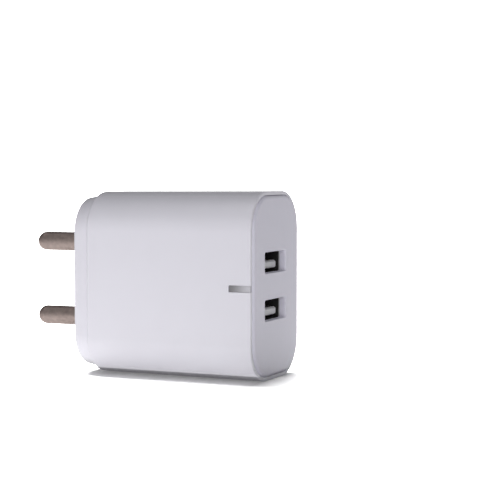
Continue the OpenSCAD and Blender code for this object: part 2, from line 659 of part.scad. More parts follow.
diode_z = 3;
module output_diode() color([0.12, 0.12, 0.13]) stand(diode_at) translate([0, 0, diode_z])
    rotate([0, 90, 0]) rotate_extrude() polygon([[0, -4.6], [2.1, -4.6], [2.4, -4.3], [2.4, 4.3],
        [2.1, 4.6], [0, 4.6]]);
module output_diode_leads() color([0.75, 0.75, 0.77]) stand(diode_at)
    for (s = [-1, 1]) bent_lead(s, 4.6, diode_span / 2, diode_z, 0.34);

// Small square-ended chips soldered flat to the board
module chips(places, size) for (at = places)
    under(at) translate([-size[0] / 2, -size[1] / 2, 0.02]) cube(size);
module chip_resistors() color([0.1, 0.1, 0.12]) chips(chip_resistors_at, [1.25, 2, 0.5]);
module chip_capacitors() color([0.7, 0.55, 0.4]) chips(chip_capacitors_at, [1.25, 2, 0.8]);

// A plastic sheet between the soldered side of the board and the shell
sheet_w = 33.2;
module insulation_sheet() color([0.9, 0.9, 0.85])
    translate([board_from + 0.4, board_back + lead_out + 0.02, -sheet_w / 2])
        cube([board_to - board_from - 0.8, 0.25, sheet_w]);

body_shell();
front_plate();
pin_cap();
plug_pin(pin_pitch / 2);  // upper_pin
plug_pin(-pin_pitch / 2);  // lower_pin
contact_spring(spring_z);  // upper_contact_spring
contact_spring(-spring_z);  // lower_contact_spring
light_pipe();
status_led();
status_led_legs();
main_board();
solder_joints();
port_shell(port_z);  // upper_port_shell
port_insulator(port_z);  // upper_port_insulator
port_contacts(port_z);  // upper_port_contacts
port_shell(-port_z);  // lower_port_shell
port_insulator(-port_z);  // lower_port_insulator
port_contacts(-port_z);  // lower_port_contacts
transformer_core();
transformer_bobbin();
transformer_winding();
transformer_tape();
transformer_pins();
input_capacitor_cans();
input_capacitor_sleeves();
input_capacitor_bungs();
input_capacitor_legs();
output_capacitor_cans();
output_capacitor_sleeves();
output_capacitor_bungs();
output_capacitor_legs();
supply_capacitor_can();
supply_capacitor_sleeve();
supply_capacitor_bung();
supply_capacitor_legs();
fuse_resistor();
fuse_resistor_leads();
varistor();
varistor_leads();
filter_choke_core();
filter_choke_coil();
filter_choke_leads();
safety_capacitor();
safety_capacitor_leads();
bridge_rectifier();
bridge_rectifier_leads();
switching_controller();
switching_controller_leads();
optocoupler();
optocoupler_leads();
output_diode();
output_diode_leads();
chip_resistors();
chip_capacitors();
insulation_sheet();
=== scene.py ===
"""USB wall charger with two round plug pins, modelled piece by piece in the part's own frame.

The pins point along -X, the ports face +X, the indicator is on the -Y side and +Z is up. Pieces are
modelled in millimetres and brought to metres as their last step.
"""

import json
import logging
import math
from dataclasses import dataclass
from enum import Enum
from typing import Callable, Sequence

import bmesh
import bpy
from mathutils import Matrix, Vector


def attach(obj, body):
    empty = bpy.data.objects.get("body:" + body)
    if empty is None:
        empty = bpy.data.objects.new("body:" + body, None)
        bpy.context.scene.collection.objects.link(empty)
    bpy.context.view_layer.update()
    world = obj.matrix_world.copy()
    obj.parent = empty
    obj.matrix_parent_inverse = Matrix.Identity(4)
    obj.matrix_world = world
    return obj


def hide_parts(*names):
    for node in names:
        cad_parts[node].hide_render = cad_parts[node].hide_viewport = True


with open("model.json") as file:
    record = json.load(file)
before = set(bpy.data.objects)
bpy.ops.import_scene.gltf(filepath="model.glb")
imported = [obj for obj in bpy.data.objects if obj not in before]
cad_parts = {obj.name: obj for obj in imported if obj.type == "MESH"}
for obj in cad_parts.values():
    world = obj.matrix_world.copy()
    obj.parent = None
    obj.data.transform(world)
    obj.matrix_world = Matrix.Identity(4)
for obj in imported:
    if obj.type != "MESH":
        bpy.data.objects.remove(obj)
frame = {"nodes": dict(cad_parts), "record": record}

MM = 0.001
LOG = logging.getLogger("charger")
Point = tuple[float, float, float]
Test = Callable[[Vector], bool]


class Axis(Enum):
    """A direction that a turned piece can have its axis along."""

    X = (1.0, 0.0, 0.0)
    Y = (0.0, 1.0, 0.0)
    Z = (0.0, 0.0, 1.0)


class Corners(Enum):
    """Which edges of a block are its four long ones."""

    ALONG_X = 0
    ALONG_Y = 1
    ALONG_Z = 2


class Cut(Enum):
    """How one solid is combined with another."""

    AWAY = "DIFFERENCE"
    TOGETHER = "UNION"


# ---------------------------------------------------------------- shader building


class Nodes:
    """A thin wrapper round a node tree that adds and links nodes.

    Args:
        tree: The material's or group's node tree.
    """

    def __init__(self, tree: bpy.types.NodeTree) -> None:
        """Keeps the tree."""
        self.tree = tree

    def add(self, kind: str, **values: object) -> bpy.types.Node:
        """Adds a node.

        Args:
            kind: The node's type name.
            **values: Properties of the node to set.

        Returns:
            The new node.
        """
        node = self.tree.nodes.new(kind)
        for name, value in values.items():
            setattr(node, name, value)
        return node

    def link(self, source: bpy.types.NodeSocket, target: bpy.types.NodeSocket) -> None:
        """Links an output to an input.

        Args:
            source: The output socket.
            target: The input socket.
        """
        self.tree.links.new(source, target)

    def math(self, operation: str, a: object, b: object = 0.0) -> bpy.types.NodeSocket:
        """Adds a math node.

        Args:
            operation: The node's operation.
            a: First operand, a number or a socket.
            b: Second operand, a number or a socket.

        Returns:
            The result's socket.
        """
        node = self.add("ShaderNodeMath", operation=operation)
        for socket, value in zip(node.inputs, (a, b)):
            if isinstance(value, (int, float)):
                socket.default_value = value
            else:
                self.link(value, socket)
        return node.outputs[0]


def in_millimetres(nodes: Nodes) -> bpy.types.NodeSocket:
    """Adds object coordinates scaled to millimetres.

    Args:
        nodes: The material's nodes.

    Returns:
        The vector's socket.
    """
    place = nodes.add("ShaderNodeTexCoord")
    scale = nodes.add("ShaderNodeVectorMath", operation="SCALE")
    scale.inputs["Scale"].default_value = 1.0 / MM
    nodes.link(place.outputs["Object"], scale.inputs[0])
    return scale.outputs[0]


def new_group(name: str, inputs: Sequence[tuple], outputs: Sequence[tuple]) -> tuple:
    """Starts a shader node group with named sockets.

    Args:
        name: The group's name.
        inputs: (name, socket type, default) of each input.
        outputs: (name, socket type) of each output.

    Returns:
        The group, its nodes, its input node and its output node.
    """
    group = bpy.data.node_groups.new(name, "ShaderNodeTree")
    for label, kind, default in inputs:
        socket = group.interface.new_socket(name=label, in_out="INPUT", socket_type=kind)
        if default is not None:
            socket.default_value = default
    for label, kind in outputs:
        group.interface.new_socket(name=label, in_out="OUTPUT", socket_type=kind)
    nodes = Nodes(group)
    return group, nodes, nodes.add("NodeGroupInput"), nodes.add("NodeGroupOutput")


def surface_wear_group() -> bpy.types.NodeTree:
    """Builds the group that varies a surface's shade and gloss and gives it a fine grain.

    Returns:
        The group: Place, Tint, Shade, Gloss, Spread, Patch Size and Grain Size in; Color, Roughness
        and Height out.
    """
    group, nodes, given, result = new_group(
        "surface_wear",
        [
            ("Place", "NodeSocketVector", None),
            ("Tint", "NodeSocketColor", (0.8, 0.8, 0.8, 1.0)),
            ("Shade", "NodeSocketFloat", 0.04),
            ("Gloss", "NodeSocketFloat", 0.3),
            ("Spread", "NodeSocketFloat", 0.05),
            ("Patch Size", "NodeSocketFloat", 0.1),
            ("Grain Size", "NodeSocketFloat", 8.0),
        ],
        [
            ("Color", "NodeSocketColor"),
            ("Roughness", "NodeSocketFloat"),
            ("Height", "NodeSocketFloat"),
        ],
    )
    patch = nodes.add("ShaderNodeTexNoise")
    patch.inputs["Detail"].default_value = 4.0
    nodes.link(given.outputs["Place"], patch.inputs["Vector"])
    nodes.link(given.outputs["Patch Size"], patch.inputs["Scale"])
    grain = nodes.add("ShaderNodeTexNoise")
    grain.inputs["Detail"].default_value = 3.0
    grain.inputs["Roughness"].default_value = 0.6
    nodes.link(given.outputs["Place"], grain.inputs["Vector"])
    nodes.link(given.outputs["Grain Size"], grain.inputs["Scale"])
    around = nodes.math("SUBTRACT", patch.outputs["Fac"], 0.5)
    lift = nodes.math("MULTIPLY", around, given.outputs["Shade"])
    value = nodes.math("ADD", nodes.math("MULTIPLY", lift, 2.0), 1.0)
    shade = nodes.add("ShaderNodeHueSaturation")
    nodes.link(value, shade.inputs["Value"])
    nodes.link(given.outputs["Tint"], shade.inputs["Color"])
    both = nodes.math("ADD", around, nodes.math("SUBTRACT", grain.outputs["Fac"], 0.5))
    spread = nodes.math("MULTIPLY", both, given.outputs["Spread"])
    rough = nodes.math("ADD", given.outputs["Gloss"], spread)
    nodes.link(shade.outputs["Color"], result.inputs["Color"])
    nodes.link(nodes.math("MAXIMUM", rough, 0.04), result.inputs["Roughness"])
    nodes.link(grain.outputs["Fac"], result.inputs["Height"])
    return group


def turned_rings_group() -> bpy.types.NodeTree:
    """Builds the group for the uneven bands that turning and polishing leave on a pin.

    Returns:
        The group: Place (axis along X), Pitch and Unevenness in; Height and Mask out.
    """
    group, nodes, given, result = new_group(
        "turned_rings",
        [
            ("Place", "NodeSocketVector", None),
            ("Pitch", "NodeSocketFloat", 0.12),
            ("Unevenness", "NodeSocketFloat", 0.5),
        ],
        [("Height", "NodeSocketFloat"), ("Mask", "NodeSocketFloat")],
    )
    split = nodes.add("ShaderNodeSeparateXYZ")
    nodes.link(given.outputs["Place"], split.inputs[0])
    along = nodes.math("DIVIDE", split.outputs["X"], given.outputs["Pitch"])
    sideways = nodes.math("MULTIPLY", split.outputs["Z"], 1.2)
    spot = nodes.add("ShaderNodeCombineXYZ")
    nodes.link(along, spot.inputs["X"])
    nodes.link(sideways, spot.inputs["Y"])
    streak = nodes.add("ShaderNodeTexNoise")
    streak.inputs["Scale"].default_value = 1.0
    streak.inputs["Detail"].default_value = 4.0
    nodes.link(spot.outputs[0], streak.inputs["Vector"])
    wide = nodes.add("ShaderNodeTexNoise")
    wide.inputs["Scale"].default_value = 0.6
    nodes.link(given.outputs["Place"], wide.inputs["Vector"])
    uneven = nodes.math("MULTIPLY", wide.outputs["Fac"], given.outputs["Unevenness"])
    nodes.link(streak.outputs["Fac"], result.inputs["Height"])
    nodes.link(nodes.math("MULTIPLY", streak.outputs["Fac"], nodes.math("ADD", uneven, 0.5)),
               result.inputs["Mask"])
    return group


def painted_depth_shade_group() -> bpy.types.NodeTree:
    """Builds the group that paints shade: it fades a shaded colour into a lit one along X.

    Returns:
        The group: Place, From, To, Near and Far in; Color and Mask out.
    """
    group, nodes, given, result = new_group(
        "painted_depth_shade",
        [
            ("Place", "NodeSocketVector", None),
            ("From", "NodeSocketFloat", 0.0),
            ("To", "NodeSocketFloat", 1.0),
            ("Near", "NodeSocketColor", (0.1, 0.1, 0.1, 1.0)),
            ("Far", "NodeSocketColor", (0.8, 0.8, 0.8, 1.0)),
        ],
        [("Color", "NodeSocketColor"), ("Mask", "NodeSocketFloat")],
    )
    split = nodes.add("ShaderNodeSeparateXYZ")
    nodes.link(given.outputs["Place"], split.inputs[0])
    share = nodes.add("ShaderNodeMapRange", interpolation_type="SMOOTHSTEP")
    nodes.link(split.outputs["X"], share.inputs["Value"])
    nodes.link(given.outputs["From"], share.inputs["From Min"])
    nodes.link(given.outputs["To"], share.inputs["From Max"])
    blend = nodes.add("ShaderNodeMix", data_type="RGBA")
    nodes.link(share.outputs["Result"], blend.inputs["Factor"])
    nodes.link(given.outputs["Near"], blend.inputs["A"])
    nodes.link(given.outputs["Far"], blend.inputs["B"])
    nodes.link(blend.outputs["Result"], result.inputs["Color"])
    nodes.link(share.outputs["Result"], result.inputs["Mask"])
    return group


class Effects:
    """The node groups that several materials share, each built once."""

    def __init__(self) -> None:
        """Builds each group once."""
        self.wear = surface_wear_group()
        self.rings = turned_rings_group()
        self.fade = painted_depth_shade_group()


@dataclass(frozen=True)
class Finish:
    """A surface: a base colour whose shade, gloss and grain vary a little over the piece.

    Attributes:
        name: The material's name.
        tint: Base colour, linear.
        gloss: Mean roughness.
        shade: Share by which the colour varies.
        spread: Amount by which the roughness varies.
        metallic: 1 for bare metal.
        coat: Weight of the clear coat.
        patch: Patches per millimetre of the slow variation.
        grain: Grains per millimetre of the fine texture.
        relief: Height of the grain in millimetres.
    """

    name: str
    tint: tuple[float, float, float]
    gloss: float = 0.4
    shade: float = 0.05
    spread: float = 0.08
    metallic: float = 0.0
    coat: float = 0.0
    patch: float = 0.15
    grain: float = 6.0
    relief: float = 0.004

    def build(self, effects: Effects) -> bpy.types.Material:
        """Makes the material.

        Args:
            effects: The shared node groups.

        Returns:
            The material.
        """
        material = bpy.data.materials.new(self.name)
        material.use_nodes = True
        nodes = Nodes(material.node_tree)
        shader = material.node_tree.nodes["Principled BSDF"]
        place = in_millimetres(nodes)
        wear = nodes.add("ShaderNodeGroup", node_tree=effects.wear)
        nodes.link(place, wear.inputs["Place"])
        wear.inputs["Tint"].default_value = (*self.tint, 1.0)
        wear.inputs["Shade"].default_value = self.shade
        wear.inputs["Gloss"].default_value = self.gloss
        wear.inputs["Spread"].default_value = self.spread
        wear.inputs["Patch Size"].default_value = self.patch
        wear.inputs["Grain Size"].default_value = self.grain
        shader.inputs["Metallic"].default_value = self.metallic
        shader.inputs["Coat Weight"].default_value = self.coat
        shader.inputs["Coat Roughness"].default_value = 0.12
        color, rough, height = self.detail(nodes, effects, place, wear)
        nodes.link(color, shader.inputs["Base Color"])
        nodes.link(rough, shader.inputs["Roughness"])
        bump = nodes.add("ShaderNodeBump")
        bump.inputs["Distance"].default_value = self.relief * MM
        bump.inputs["Strength"].default_value = 0.6
        nodes.link(height, bump.inputs["Height"])
        nodes.link(bump.outputs["Normal"], shader.inputs["Normal"])
        self.extras(nodes, shader)
        return material

    def detail(self, nodes: Nodes, effects: Effects, place: bpy.types.NodeSocket,
               wear: bpy.types.Node) -> tuple:
        """Gives the colour, roughness and height that the surface shows.

        Args:
            nodes: The material's nodes.
            effects: The shared node groups.
            place: Coordinates in millimetres.
            wear: The surface_wear node.

        Returns:
            The colour, roughness and height sockets.
        """
        return wear.outputs["Color"], wear.outputs["Roughness"], wear.outputs["Height"]

    def extras(self, nodes: Nodes, shader: bpy.types.Node) -> None:
        """Sets what only some finishes have.

        Args:
            nodes: The material's nodes.
            shader: The Principled BSDF.
        """


@dataclass(frozen=True)
class TurnedMetal(Finish):
    """Bare metal with uneven bands round an axis along X.

    Attributes:
        pitch: Spacing of the bands in millimetres.
    """

    pitch: float = 1.1

    def detail(self, nodes: Nodes, effects: Effects, place: bpy.types.NodeSocket,
               wear: bpy.types.Node) -> tuple:
        """See Finish.detail: the bands darken and roughen the metal.

        Args:
            nodes: The material's nodes.
            effects: The shared node groups.
            place: Coordinates in millimetres.
            wear: The surface_wear node.

        Returns:
            The colour, roughness and height sockets.
        """
        rings = nodes.add("ShaderNodeGroup", node_tree=effects.rings)
        nodes.link(place, rings.inputs["Place"])
        rings.inputs["Pitch"].default_value = self.pitch
        shade = nodes.add("ShaderNodeHueSaturation")
        nodes.link(nodes.math("ADD", nodes.math("MULTIPLY", rings.outputs["Mask"], 0.8), 0.62),
                   shade.inputs["Value"])
        nodes.link(wear.outputs["Color"], shade.inputs["Color"])
        rough = nodes.math("ADD", wear.outputs["Roughness"],
                           nodes.math("MULTIPLY", rings.outputs["Mask"], 0.12))
        return shade.outputs["Color"], rough, rings.outputs["Height"]


@dataclass(frozen=True)
class PaintedDepthShade(Finish):
    """A surface with painted shade: its colour fades from a shaded one at the near end to a lit one
    along X.

    Attributes:
        other: The lit colour at the far end, linear.
        start: Where the fade begins along X, in millimetres.
        end: Where it ends.
    """

    other: tuple[float, float, float] = (0.5, 0.5, 0.5)
    start: float = 0.0
    end: float = 1.0

    def detail(self, nodes: Nodes, effects: Effects, place: bpy.types.NodeSocket,
               wear: bpy.types.Node) -> tuple:
        """See Finish.detail: the base colour is the near end's painted shade.

        Args:
            nodes: The material's nodes.
            effects: The shared node groups.
            place: Coordinates in millimetres.
            wear: The surface_wear node.

        Returns:
            The colour, roughness and height sockets.
        """
        # painted shade: the base colour darkens the near end and fades to the lit colour
        fade = nodes.add("ShaderNodeGroup", node_tree=effects.fade)
        nodes.link(place, fade.inputs["Place"])
        fade.inputs["From"].default_value = self.start
        fade.inputs["To"].default_value = self.end
        fade.inputs["Far"].default_value = (*self.other, 1.0)
        nodes.link(wear.outputs["Color"], fade.inputs["Near"])
        return fade.outputs["Color"], wear.outputs["Roughness"], wear.outputs["Height"]


@dataclass(frozen=True)
class Clear(Finish):
    """A clear or tinted plastic or glass.

    Attributes:
        through: Share of the light that passes through.
    """

    through: float = 0.9

    def extras(self, nodes: Nodes, shader: bpy.types.Node) -> None:
        """See Finish.extras: the clear body."""
        shader.inputs["Transmission Weight"].default_value = self.through
        shader.inputs["IOR"].default_value = 1.49


@dataclass(frozen=True)
class Laminate(Finish):
    """Circuit-board laminate with a faint weave and darker printed tracks on its soldered side."""

    def detail(self, nodes: Nodes, effects: Effects, place: bpy.types.NodeSocket,
               wear: bpy.types.Node) -> tuple:
        """See Finish.detail: tracks show as a change of shade where cells of a coarse grid meet.

        Args:
            nodes: The material's nodes.
            effects: The shared node groups.
            place: Coordinates in millimetres.
            wear: The surface_wear node.

        Returns:
            The colour, roughness and height sockets.
        """
        cells = nodes.add("ShaderNodeTexVoronoi", feature="DISTANCE_TO_EDGE")
        cells.inputs["Scale"].default_value = 0.16
        nodes.link(place, cells.inputs["Vector"])
        edge = nodes.add("ShaderNodeMapRange")
        edge.inputs["From Min"].default_value = 0.04
        edge.inputs["From Max"].default_value = 0.08
        nodes.link(cells.outputs["Distance"], edge.inputs["Value"])
        track = nodes.add("ShaderNodeHueSaturation")
        nodes.link(nodes.math("SUBTRACT", 1.0, nodes.math("MULTIPLY", edge.outputs["Result"], 0.3)),
                   track.inputs["Value"])
        nodes.link(wear.outputs["Color"], track.inputs["Color"])
        weave = nodes.add("ShaderNodeTexWave")
        weave.inputs["Scale"].default_value = 1.5
        nodes.link(place, weave.inputs["Vector"])
        return track.outputs["Color"], wear.outputs["Roughness"], weave.outputs["Fac"]


@dataclass(frozen=True)
class Wound(Finish):
    """Enamelled wire or tape in layers along an axis.

    Attributes:
        along: Which way the turns are stacked.
        turns: Turns per millimetre.
    """

    along: str = "Y"
    turns: float = 3.0

    def detail(self, nodes: Nodes, effects: Effects, place: bpy.types.NodeSocket,
               wear: bpy.types.Node) -> tuple:
        """See Finish.detail: the turns show as fine bands.

        Args:
            nodes: The material's nodes.
            effects: The shared node groups.
            place: Coordinates in millimetres.
            wear: The surface_wear node.

        Returns:
            The colour, roughness and height sockets.
        """
        bands = nodes.add("ShaderNodeTexWave", wave_type="BANDS", bands_direction=self.along)
        bands.inputs["Scale"].default_value = self.turns / 3.2
        bands.inputs["Distortion"].default_value = 0.3
        nodes.link(place, bands.inputs["Vector"])
        shade = nodes.add("ShaderNodeHueSaturation")
        nodes.link(nodes.math("ADD", nodes.math("MULTIPLY", bands.outputs["Fac"], 0.5), 0.6),
                   shade.inputs["Value"])
        nodes.link(wear.outputs["Color"], shade.inputs["Color"])
        return shade.outputs["Color"], wear.outputs["Roughness"], bands.outputs["Fac"]


@dataclass(frozen=True)
class Glow(Finish):
    """Paper that looks brighter to the camera than the light it passes on, as burnt-out paper does.

    Attributes:
        lift: Brightness added where the camera sees it.
        passed: Brightness added to the light that it passes on.
        bounced: Share of the light falling on it that it passes on.
    """

    lift: float = 0.5
    passed: float = 0.3
    bounced: float = 0.4

    def extras(self, nodes: Nodes, shader: bpy.types.Node) -> None:
        """See Finish.extras: the added brightness.

        Args:
            nodes: The material's nodes.
            shader: The Principled BSDF.
        """
        path = nodes.add("ShaderNodeLightPath")
        glow = nodes.add("ShaderNodeMix", data_type="RGBA")
        nodes.link(path.outputs["Is Camera Ray"], glow.inputs["Factor"])
        glow.inputs["A"].default_value = (self.passed, self.passed, self.passed, 1.0)
        glow.inputs["B"].default_value = (self.lift, self.lift, self.lift, 1.0)
        nodes.link(glow.outputs["Result"], shader.inputs["Emission Color"])
        shader.inputs["Emission Strength"].default_value = 1.0
        seen = nodes.add("ShaderNodeMix", data_type="RGBA")
        nodes.link(path.outputs["Is Camera Ray"], seen.inputs["Factor"])
        seen.inputs["A"].default_value = (self.bounced, self.bounced, self.bounced, 1.0)
        seen.inputs["B"].default_value = (*self.tint, 1.0)
        nodes.link(seen.outputs["Result"], shader.inputs["Base Color"])


# ---------------------------------------------------------------- modelling


def only(obj: bpy.types.Object) -> None:
    """Leaves one object selected and active.

    Args:
        obj: The object.
    """
    if bpy.context.object and bpy.context.object.mode != "OBJECT":
        bpy.ops.object.mode_set(mode="OBJECT")
    bpy.ops.object.select_all(action="DESELECT")
    obj.select_set(True)
    bpy.context.view_layer.objects.active = obj


def drawn_line(name: str, spots: Sequence[Vector]) -> bpy.types.Object:
    """Draws a line by extruding a single vertex, and leaves it open in edit mode.

    Args:
        name: The object's name.
        spots: The line's points.

    Returns:
        The object.
    """
    only_none()
    bpy.ops.mesh.primitive_plane_add(size=1, location=spots[0])
    obj = bpy.context.object
    obj.name = name
    bpy.ops.object.transform_apply(location=True, rotation=True, scale=True)
    bpy.ops.object.mode_set(mode="EDIT")
    bpy.ops.mesh.select_mode(type="VERT")
    bpy.ops.mesh.select_all(action="SELECT")
    bpy.ops.mesh.merge(type="CENTER")
    for a, b in zip(spots, spots[1:]):
        bpy.ops.mesh.extrude_region_move(TRANSFORM_OT_translate={"value": b - a})
    return obj


class Workpiece:
    """A mesh being modelled in millimetres with Blender's own tools.

    Args:
        obj: The mesh object, already at its place.
    """

    def __init__(self, obj: bpy.types.Object) -> None:
        """Keeps the mesh object."""
        self.obj = obj

    @classmethod
    def block(cls, name: str, low: Point, high: Point) -> "Workpiece":
        """Starts from a block between two corners.

        Args:
            name: The object's name.
            low: Lowest corner.
            high: Highest corner.

        Returns:
            The workpiece.
        """
        only_none()
        size = [b - a for a, b in zip(low, high)]
        centre = [(a + b) / 2 for a, b in zip(low, high)]
        bpy.ops.mesh.primitive_cube_add(size=1, location=centre)
        obj = bpy.context.object
        obj.name = name
        obj.scale = size
        bpy.ops.object.transform_apply(location=True, rotation=True, scale=True)
        return cls(obj)

    @classmethod
    def turned(cls, name: str, profile: Sequence[tuple[float, float]], at: Point = (0, 0, 0),
               axis: Axis = Axis.X, steps: int = 48) -> "Workpiece":
        """Draws a profile and spins it round an axis.

        Args:
            name: The object's name.
            profile: (distance along the axis, radius) of each point.
            at: A point on the axis, from which the distance is measured.
            axis: Direction of the axis.
            steps: Sides of the turned piece.

        Returns:
            The workpiece.
        """
        along = Vector(axis.value)
        out = Vector((0, 0, 1)) if axis is not Axis.Z else Vector((1, 0, 0))
        base = Vector(at)
        spots = [base + along * a + out * r for a, r in profile]
        obj = drawn_line(name, spots)
        bpy.ops.mesh.select_all(action="SELECT")
        bpy.ops.mesh.spin(steps=steps, angle=2 * math.pi, center=base, axis=along)
        bpy.ops.mesh.select_all(action="SELECT")
        bpy.ops.mesh.remove_doubles(threshold=1e-4)
        bpy.ops.mesh.normals_make_consistent(inside=False)
        bpy.ops.object.mode_set(mode="OBJECT")
        return cls(obj)

    @classmethod
    def swept(cls, name: str, section: Sequence[tuple[float, float]], along: Axis, start: float,
              length: float) -> "Workpiece":
        """Draws a closed outline and extrudes it.

        Args:
            name: The object's name.
            section: Points of the outline: (Y, Z) for X, (X, Z) for Y and (X, Y) for Z.
            along: Direction of the extrusion.
            start: Where it starts along that direction.
            length: How long it is.

        Returns:
            The workpiece.
        """

        def put(u: float, v: float) -> Vector:
            """Places a point of the outline in the plane where the sweep starts.

            Args:
                u: Its first coordinate in that plane.
                v: Its second coordinate.

            Returns:
                The point.
            """
            if along is Axis.X:
                return Vector((start, u, v))
            return Vector((u, start, v)) if along is Axis.Y else Vector((u, v, start))

        spots = [put(*p) for p in section]
        obj = drawn_line(name, spots)
        bpy.ops.mesh.select_all(action="SELECT")
        bpy.ops.mesh.edge_face_add()
        bpy.ops.mesh.extrude_region_move(
            TRANSFORM_OT_translate={"value": Vector(along.value) * length})
        bpy.ops.mesh.select_all(action="SELECT")
        bpy.ops.mesh.normals_make_consistent(inside=False)
        bpy.ops.object.mode_set(mode="OBJECT")
        return cls(obj)

    def edit(self) -> bmesh.types.BMesh:
        """Enters edit mode with nothing selected.

        Returns:
            The mesh being edited, for choosing parts of it.
        """
        only(self.obj)
        bpy.ops.object.mode_set(mode="EDIT")
        bpy.ops.mesh.select_mode(type="VERT")
        bpy.ops.mesh.select_all(action="DESELECT")
        return bmesh.from_edit_mesh(self.obj.data)

    def done(self) -> "Workpiece":
        """Leaves edit mode.

        Returns:
            The workpiece, so that steps can follow one another.
        """
        bpy.ops.object.mode_set(mode="OBJECT")
        return self

    def pick_faces(self, test: Callable[[Vector, Vector], bool]) -> int:
        """Enters edit mode and selects faces.

        Args:
            test: Told a face's centre and normal, says whether it is wanted.

        Returns:
            How many faces are selected.
        """
        mesh = self.edit()
        bpy.ops.mesh.select_mode(type="FACE")
        count = 0
        for face in mesh.faces:
            if test(face.calc_center_median(), face.normal):
                face.select_set(True)
                count += 1
        bmesh.update_edit_mesh(self.obj.data)
        return count

    def pick_edges(self, test: Callable[[Vector, Vector], bool]) -> int:
        """Enters edit mode and selects edges.

        Args:
            test: Told an edge's two ends, says whether it is wanted.

        Returns:
            How many edges are selected.
        """
        mesh = self.edit()
        bpy.ops.mesh.select_mode(type="EDGE")
        count = 0
        for edge in mesh.edges:
            if test(edge.verts[0].co, edge.verts[1].co):
                edge.select_set(True)
                count += 1
        bmesh.update_edit_mesh(self.obj.data)
        return count

    def bevel_edges(self, test: Callable[[Vector, Vector], bool], width: float,
                    segments: int = 3) -> "Workpiece":
        """Rounds the edges that pass a test.

        Args:
            test: Told an edge's two ends, says whether it is wanted.
            width: Radius of the rounding.
            segments: Steps of the rounding.

        Returns:
            The workpiece.
        """
        if self.pick_edges(test):
            bpy.ops.mesh.bevel(offset=width, offset_type="OFFSET", segments=segments,
                               affect="EDGES", clamp_overlap=True)
        else:
            LOG.warning("%s: no edge to round", self.obj.name)
        return self.done()

    def round_corners(self, which: Corners, radius: float, segments: int = 12) -> "Workpiece":
        """Rounds the four long edges of a block.

        Args:
            which: The edges' direction.
            radius: Radius of the rounding.
            segments: Steps of the rounding.

        Returns:
            The workpiece.
        """
        axis = which.value

        def along(a: Vector, b: Vector) -> bool:
            """Says whether an edge runs in the wanted direction."""
            return abs(a[axis] - b[axis]) > 1e-5 and (a - b).length - abs(a[axis] - b[axis]) < 1e-5

        return self.bevel_edges(along, radius, segments)

    def soften(self, width: float, segments: int = 2, angle: float = 35.0) -> "Workpiece":
        """Rounds every sharp edge a little.

        Args:
            width: Width of the rounding.
            segments: Steps of the rounding.
            angle: Edges sharper than this many degrees are rounded.

        Returns:
            The workpiece.
        """
        only(self.obj)
        bevel = self.obj.modifiers.new("soften", "BEVEL")
        bevel.width = width
        bevel.segments = segments
        bevel.limit_method = "ANGLE"
        bevel.angle_limit = math.radians(angle)
        bpy.ops.object.modifier_apply(modifier=bevel.name)
        return self

    def extrude_faces(self, test: Callable[[Vector, Vector], bool], move: Point,
                      inset: float = 0.0) -> "Workpiece":
        """Insets the faces that pass a test and then extrudes them.

        Args:
            test: Told a face's centre and normal, says whether it is wanted.
            move: How far the faces are moved.
            inset: Width of the inset made first.

        Returns:
            The workpiece.
        """
        if not self.pick_faces(test):
            LOG.warning("%s: no face to extrude", self.obj.name)
        if inset:
            bpy.ops.mesh.inset(thickness=inset, depth=0)
        if any(move):
            bpy.ops.mesh.extrude_region_move(TRANSFORM_OT_translate={"value": move})
        return self.done()

    def shift(self, test: Test, move: Point) -> "Workpiece":
        """Moves the vertices that pass a test.

        Args:
            test: Told a vertex's place, says whether it is wanted.
            move: How far it is moved.

        Returns:
            The workpiece.
        """
        mesh = self.edit()
        for vert in mesh.verts:
            if test(vert.co):
                vert.select_set(True)
        bmesh.update_edit_mesh(self.obj.data)
        bpy.ops.transform.translate(value=move)
        return self.done()

    def taper(self, near: Test, dy: float, dz: float) -> "Workpiece":
        """Draws one end in towards the middle, keeping its corners' radius.

        Args:
            near: Says which vertices are at that end.
            dy: How far each side moves in along Y.
            dz: How far each side moves in along Z.

        Returns:
            The workpiece.
        """
        self.shift(lambda v: near(v) and v.y > 0, (0, -dy, 0))
        self.shift(lambda v: near(v) and v.y < 0, (0, dy, 0))
        self.shift(lambda v: near(v) and v.z > 0, (0, 0, -dz))
        return self.shift(lambda v: near(v) and v.z < 0, (0, 0, dz))

    def combine(self, other: "Workpiece", how: Cut) -> "Workpiece":
        """Cuts another workpiece away from this one or joins it on, and removes the other.

        Args:
            other: The other workpiece.
            how: Whether it is cut away or joined on.

        Returns:
            The workpiece.
        """
        only(self.obj)
        change = self.obj.modifiers.new("combine", "BOOLEAN")
        change.object = other.obj
        change.operation = how.value
        change.solver = "EXACT"
        bpy.ops.object.modifier_apply(modifier=change.name)
        bpy.data.objects.remove(other.obj, do_unlink=True)
        return self

    def weld(self, distance: float = 2e-3) -> "Workpiece":
        """Merges vertices that lie closer together than a distance.

        Args:
            distance: The distance.

        Returns:
            The workpiece.
        """
        self.edit()
        bpy.ops.mesh.select_all(action="SELECT")
        bpy.ops.mesh.remove_doubles(threshold=distance)
        return self.done()

    def add(self, *others: "Workpiece") -> "Workpiece":
        """Puts other workpieces into this one's mesh as they are.

        Args:
            *others: The other workpieces.

        Returns:
            The workpiece.
        """
        only(self.obj)
        for other in others:
            other.obj.select_set(True)
        bpy.ops.object.join()
        return self

    def copy(self, move: Point = (0, 0, 0)) -> "Workpiece":
        """Makes a copy with its own mesh.

        Args:
            move: How far from this one the copy is put.

        Returns:
            The copy.
        """
        twin = self.obj.copy()
        twin.data = self.obj.data.copy()
        bpy.context.collection.objects.link(twin)
        made = Workpiece(twin)
        return made.shift(lambda v: True, move)

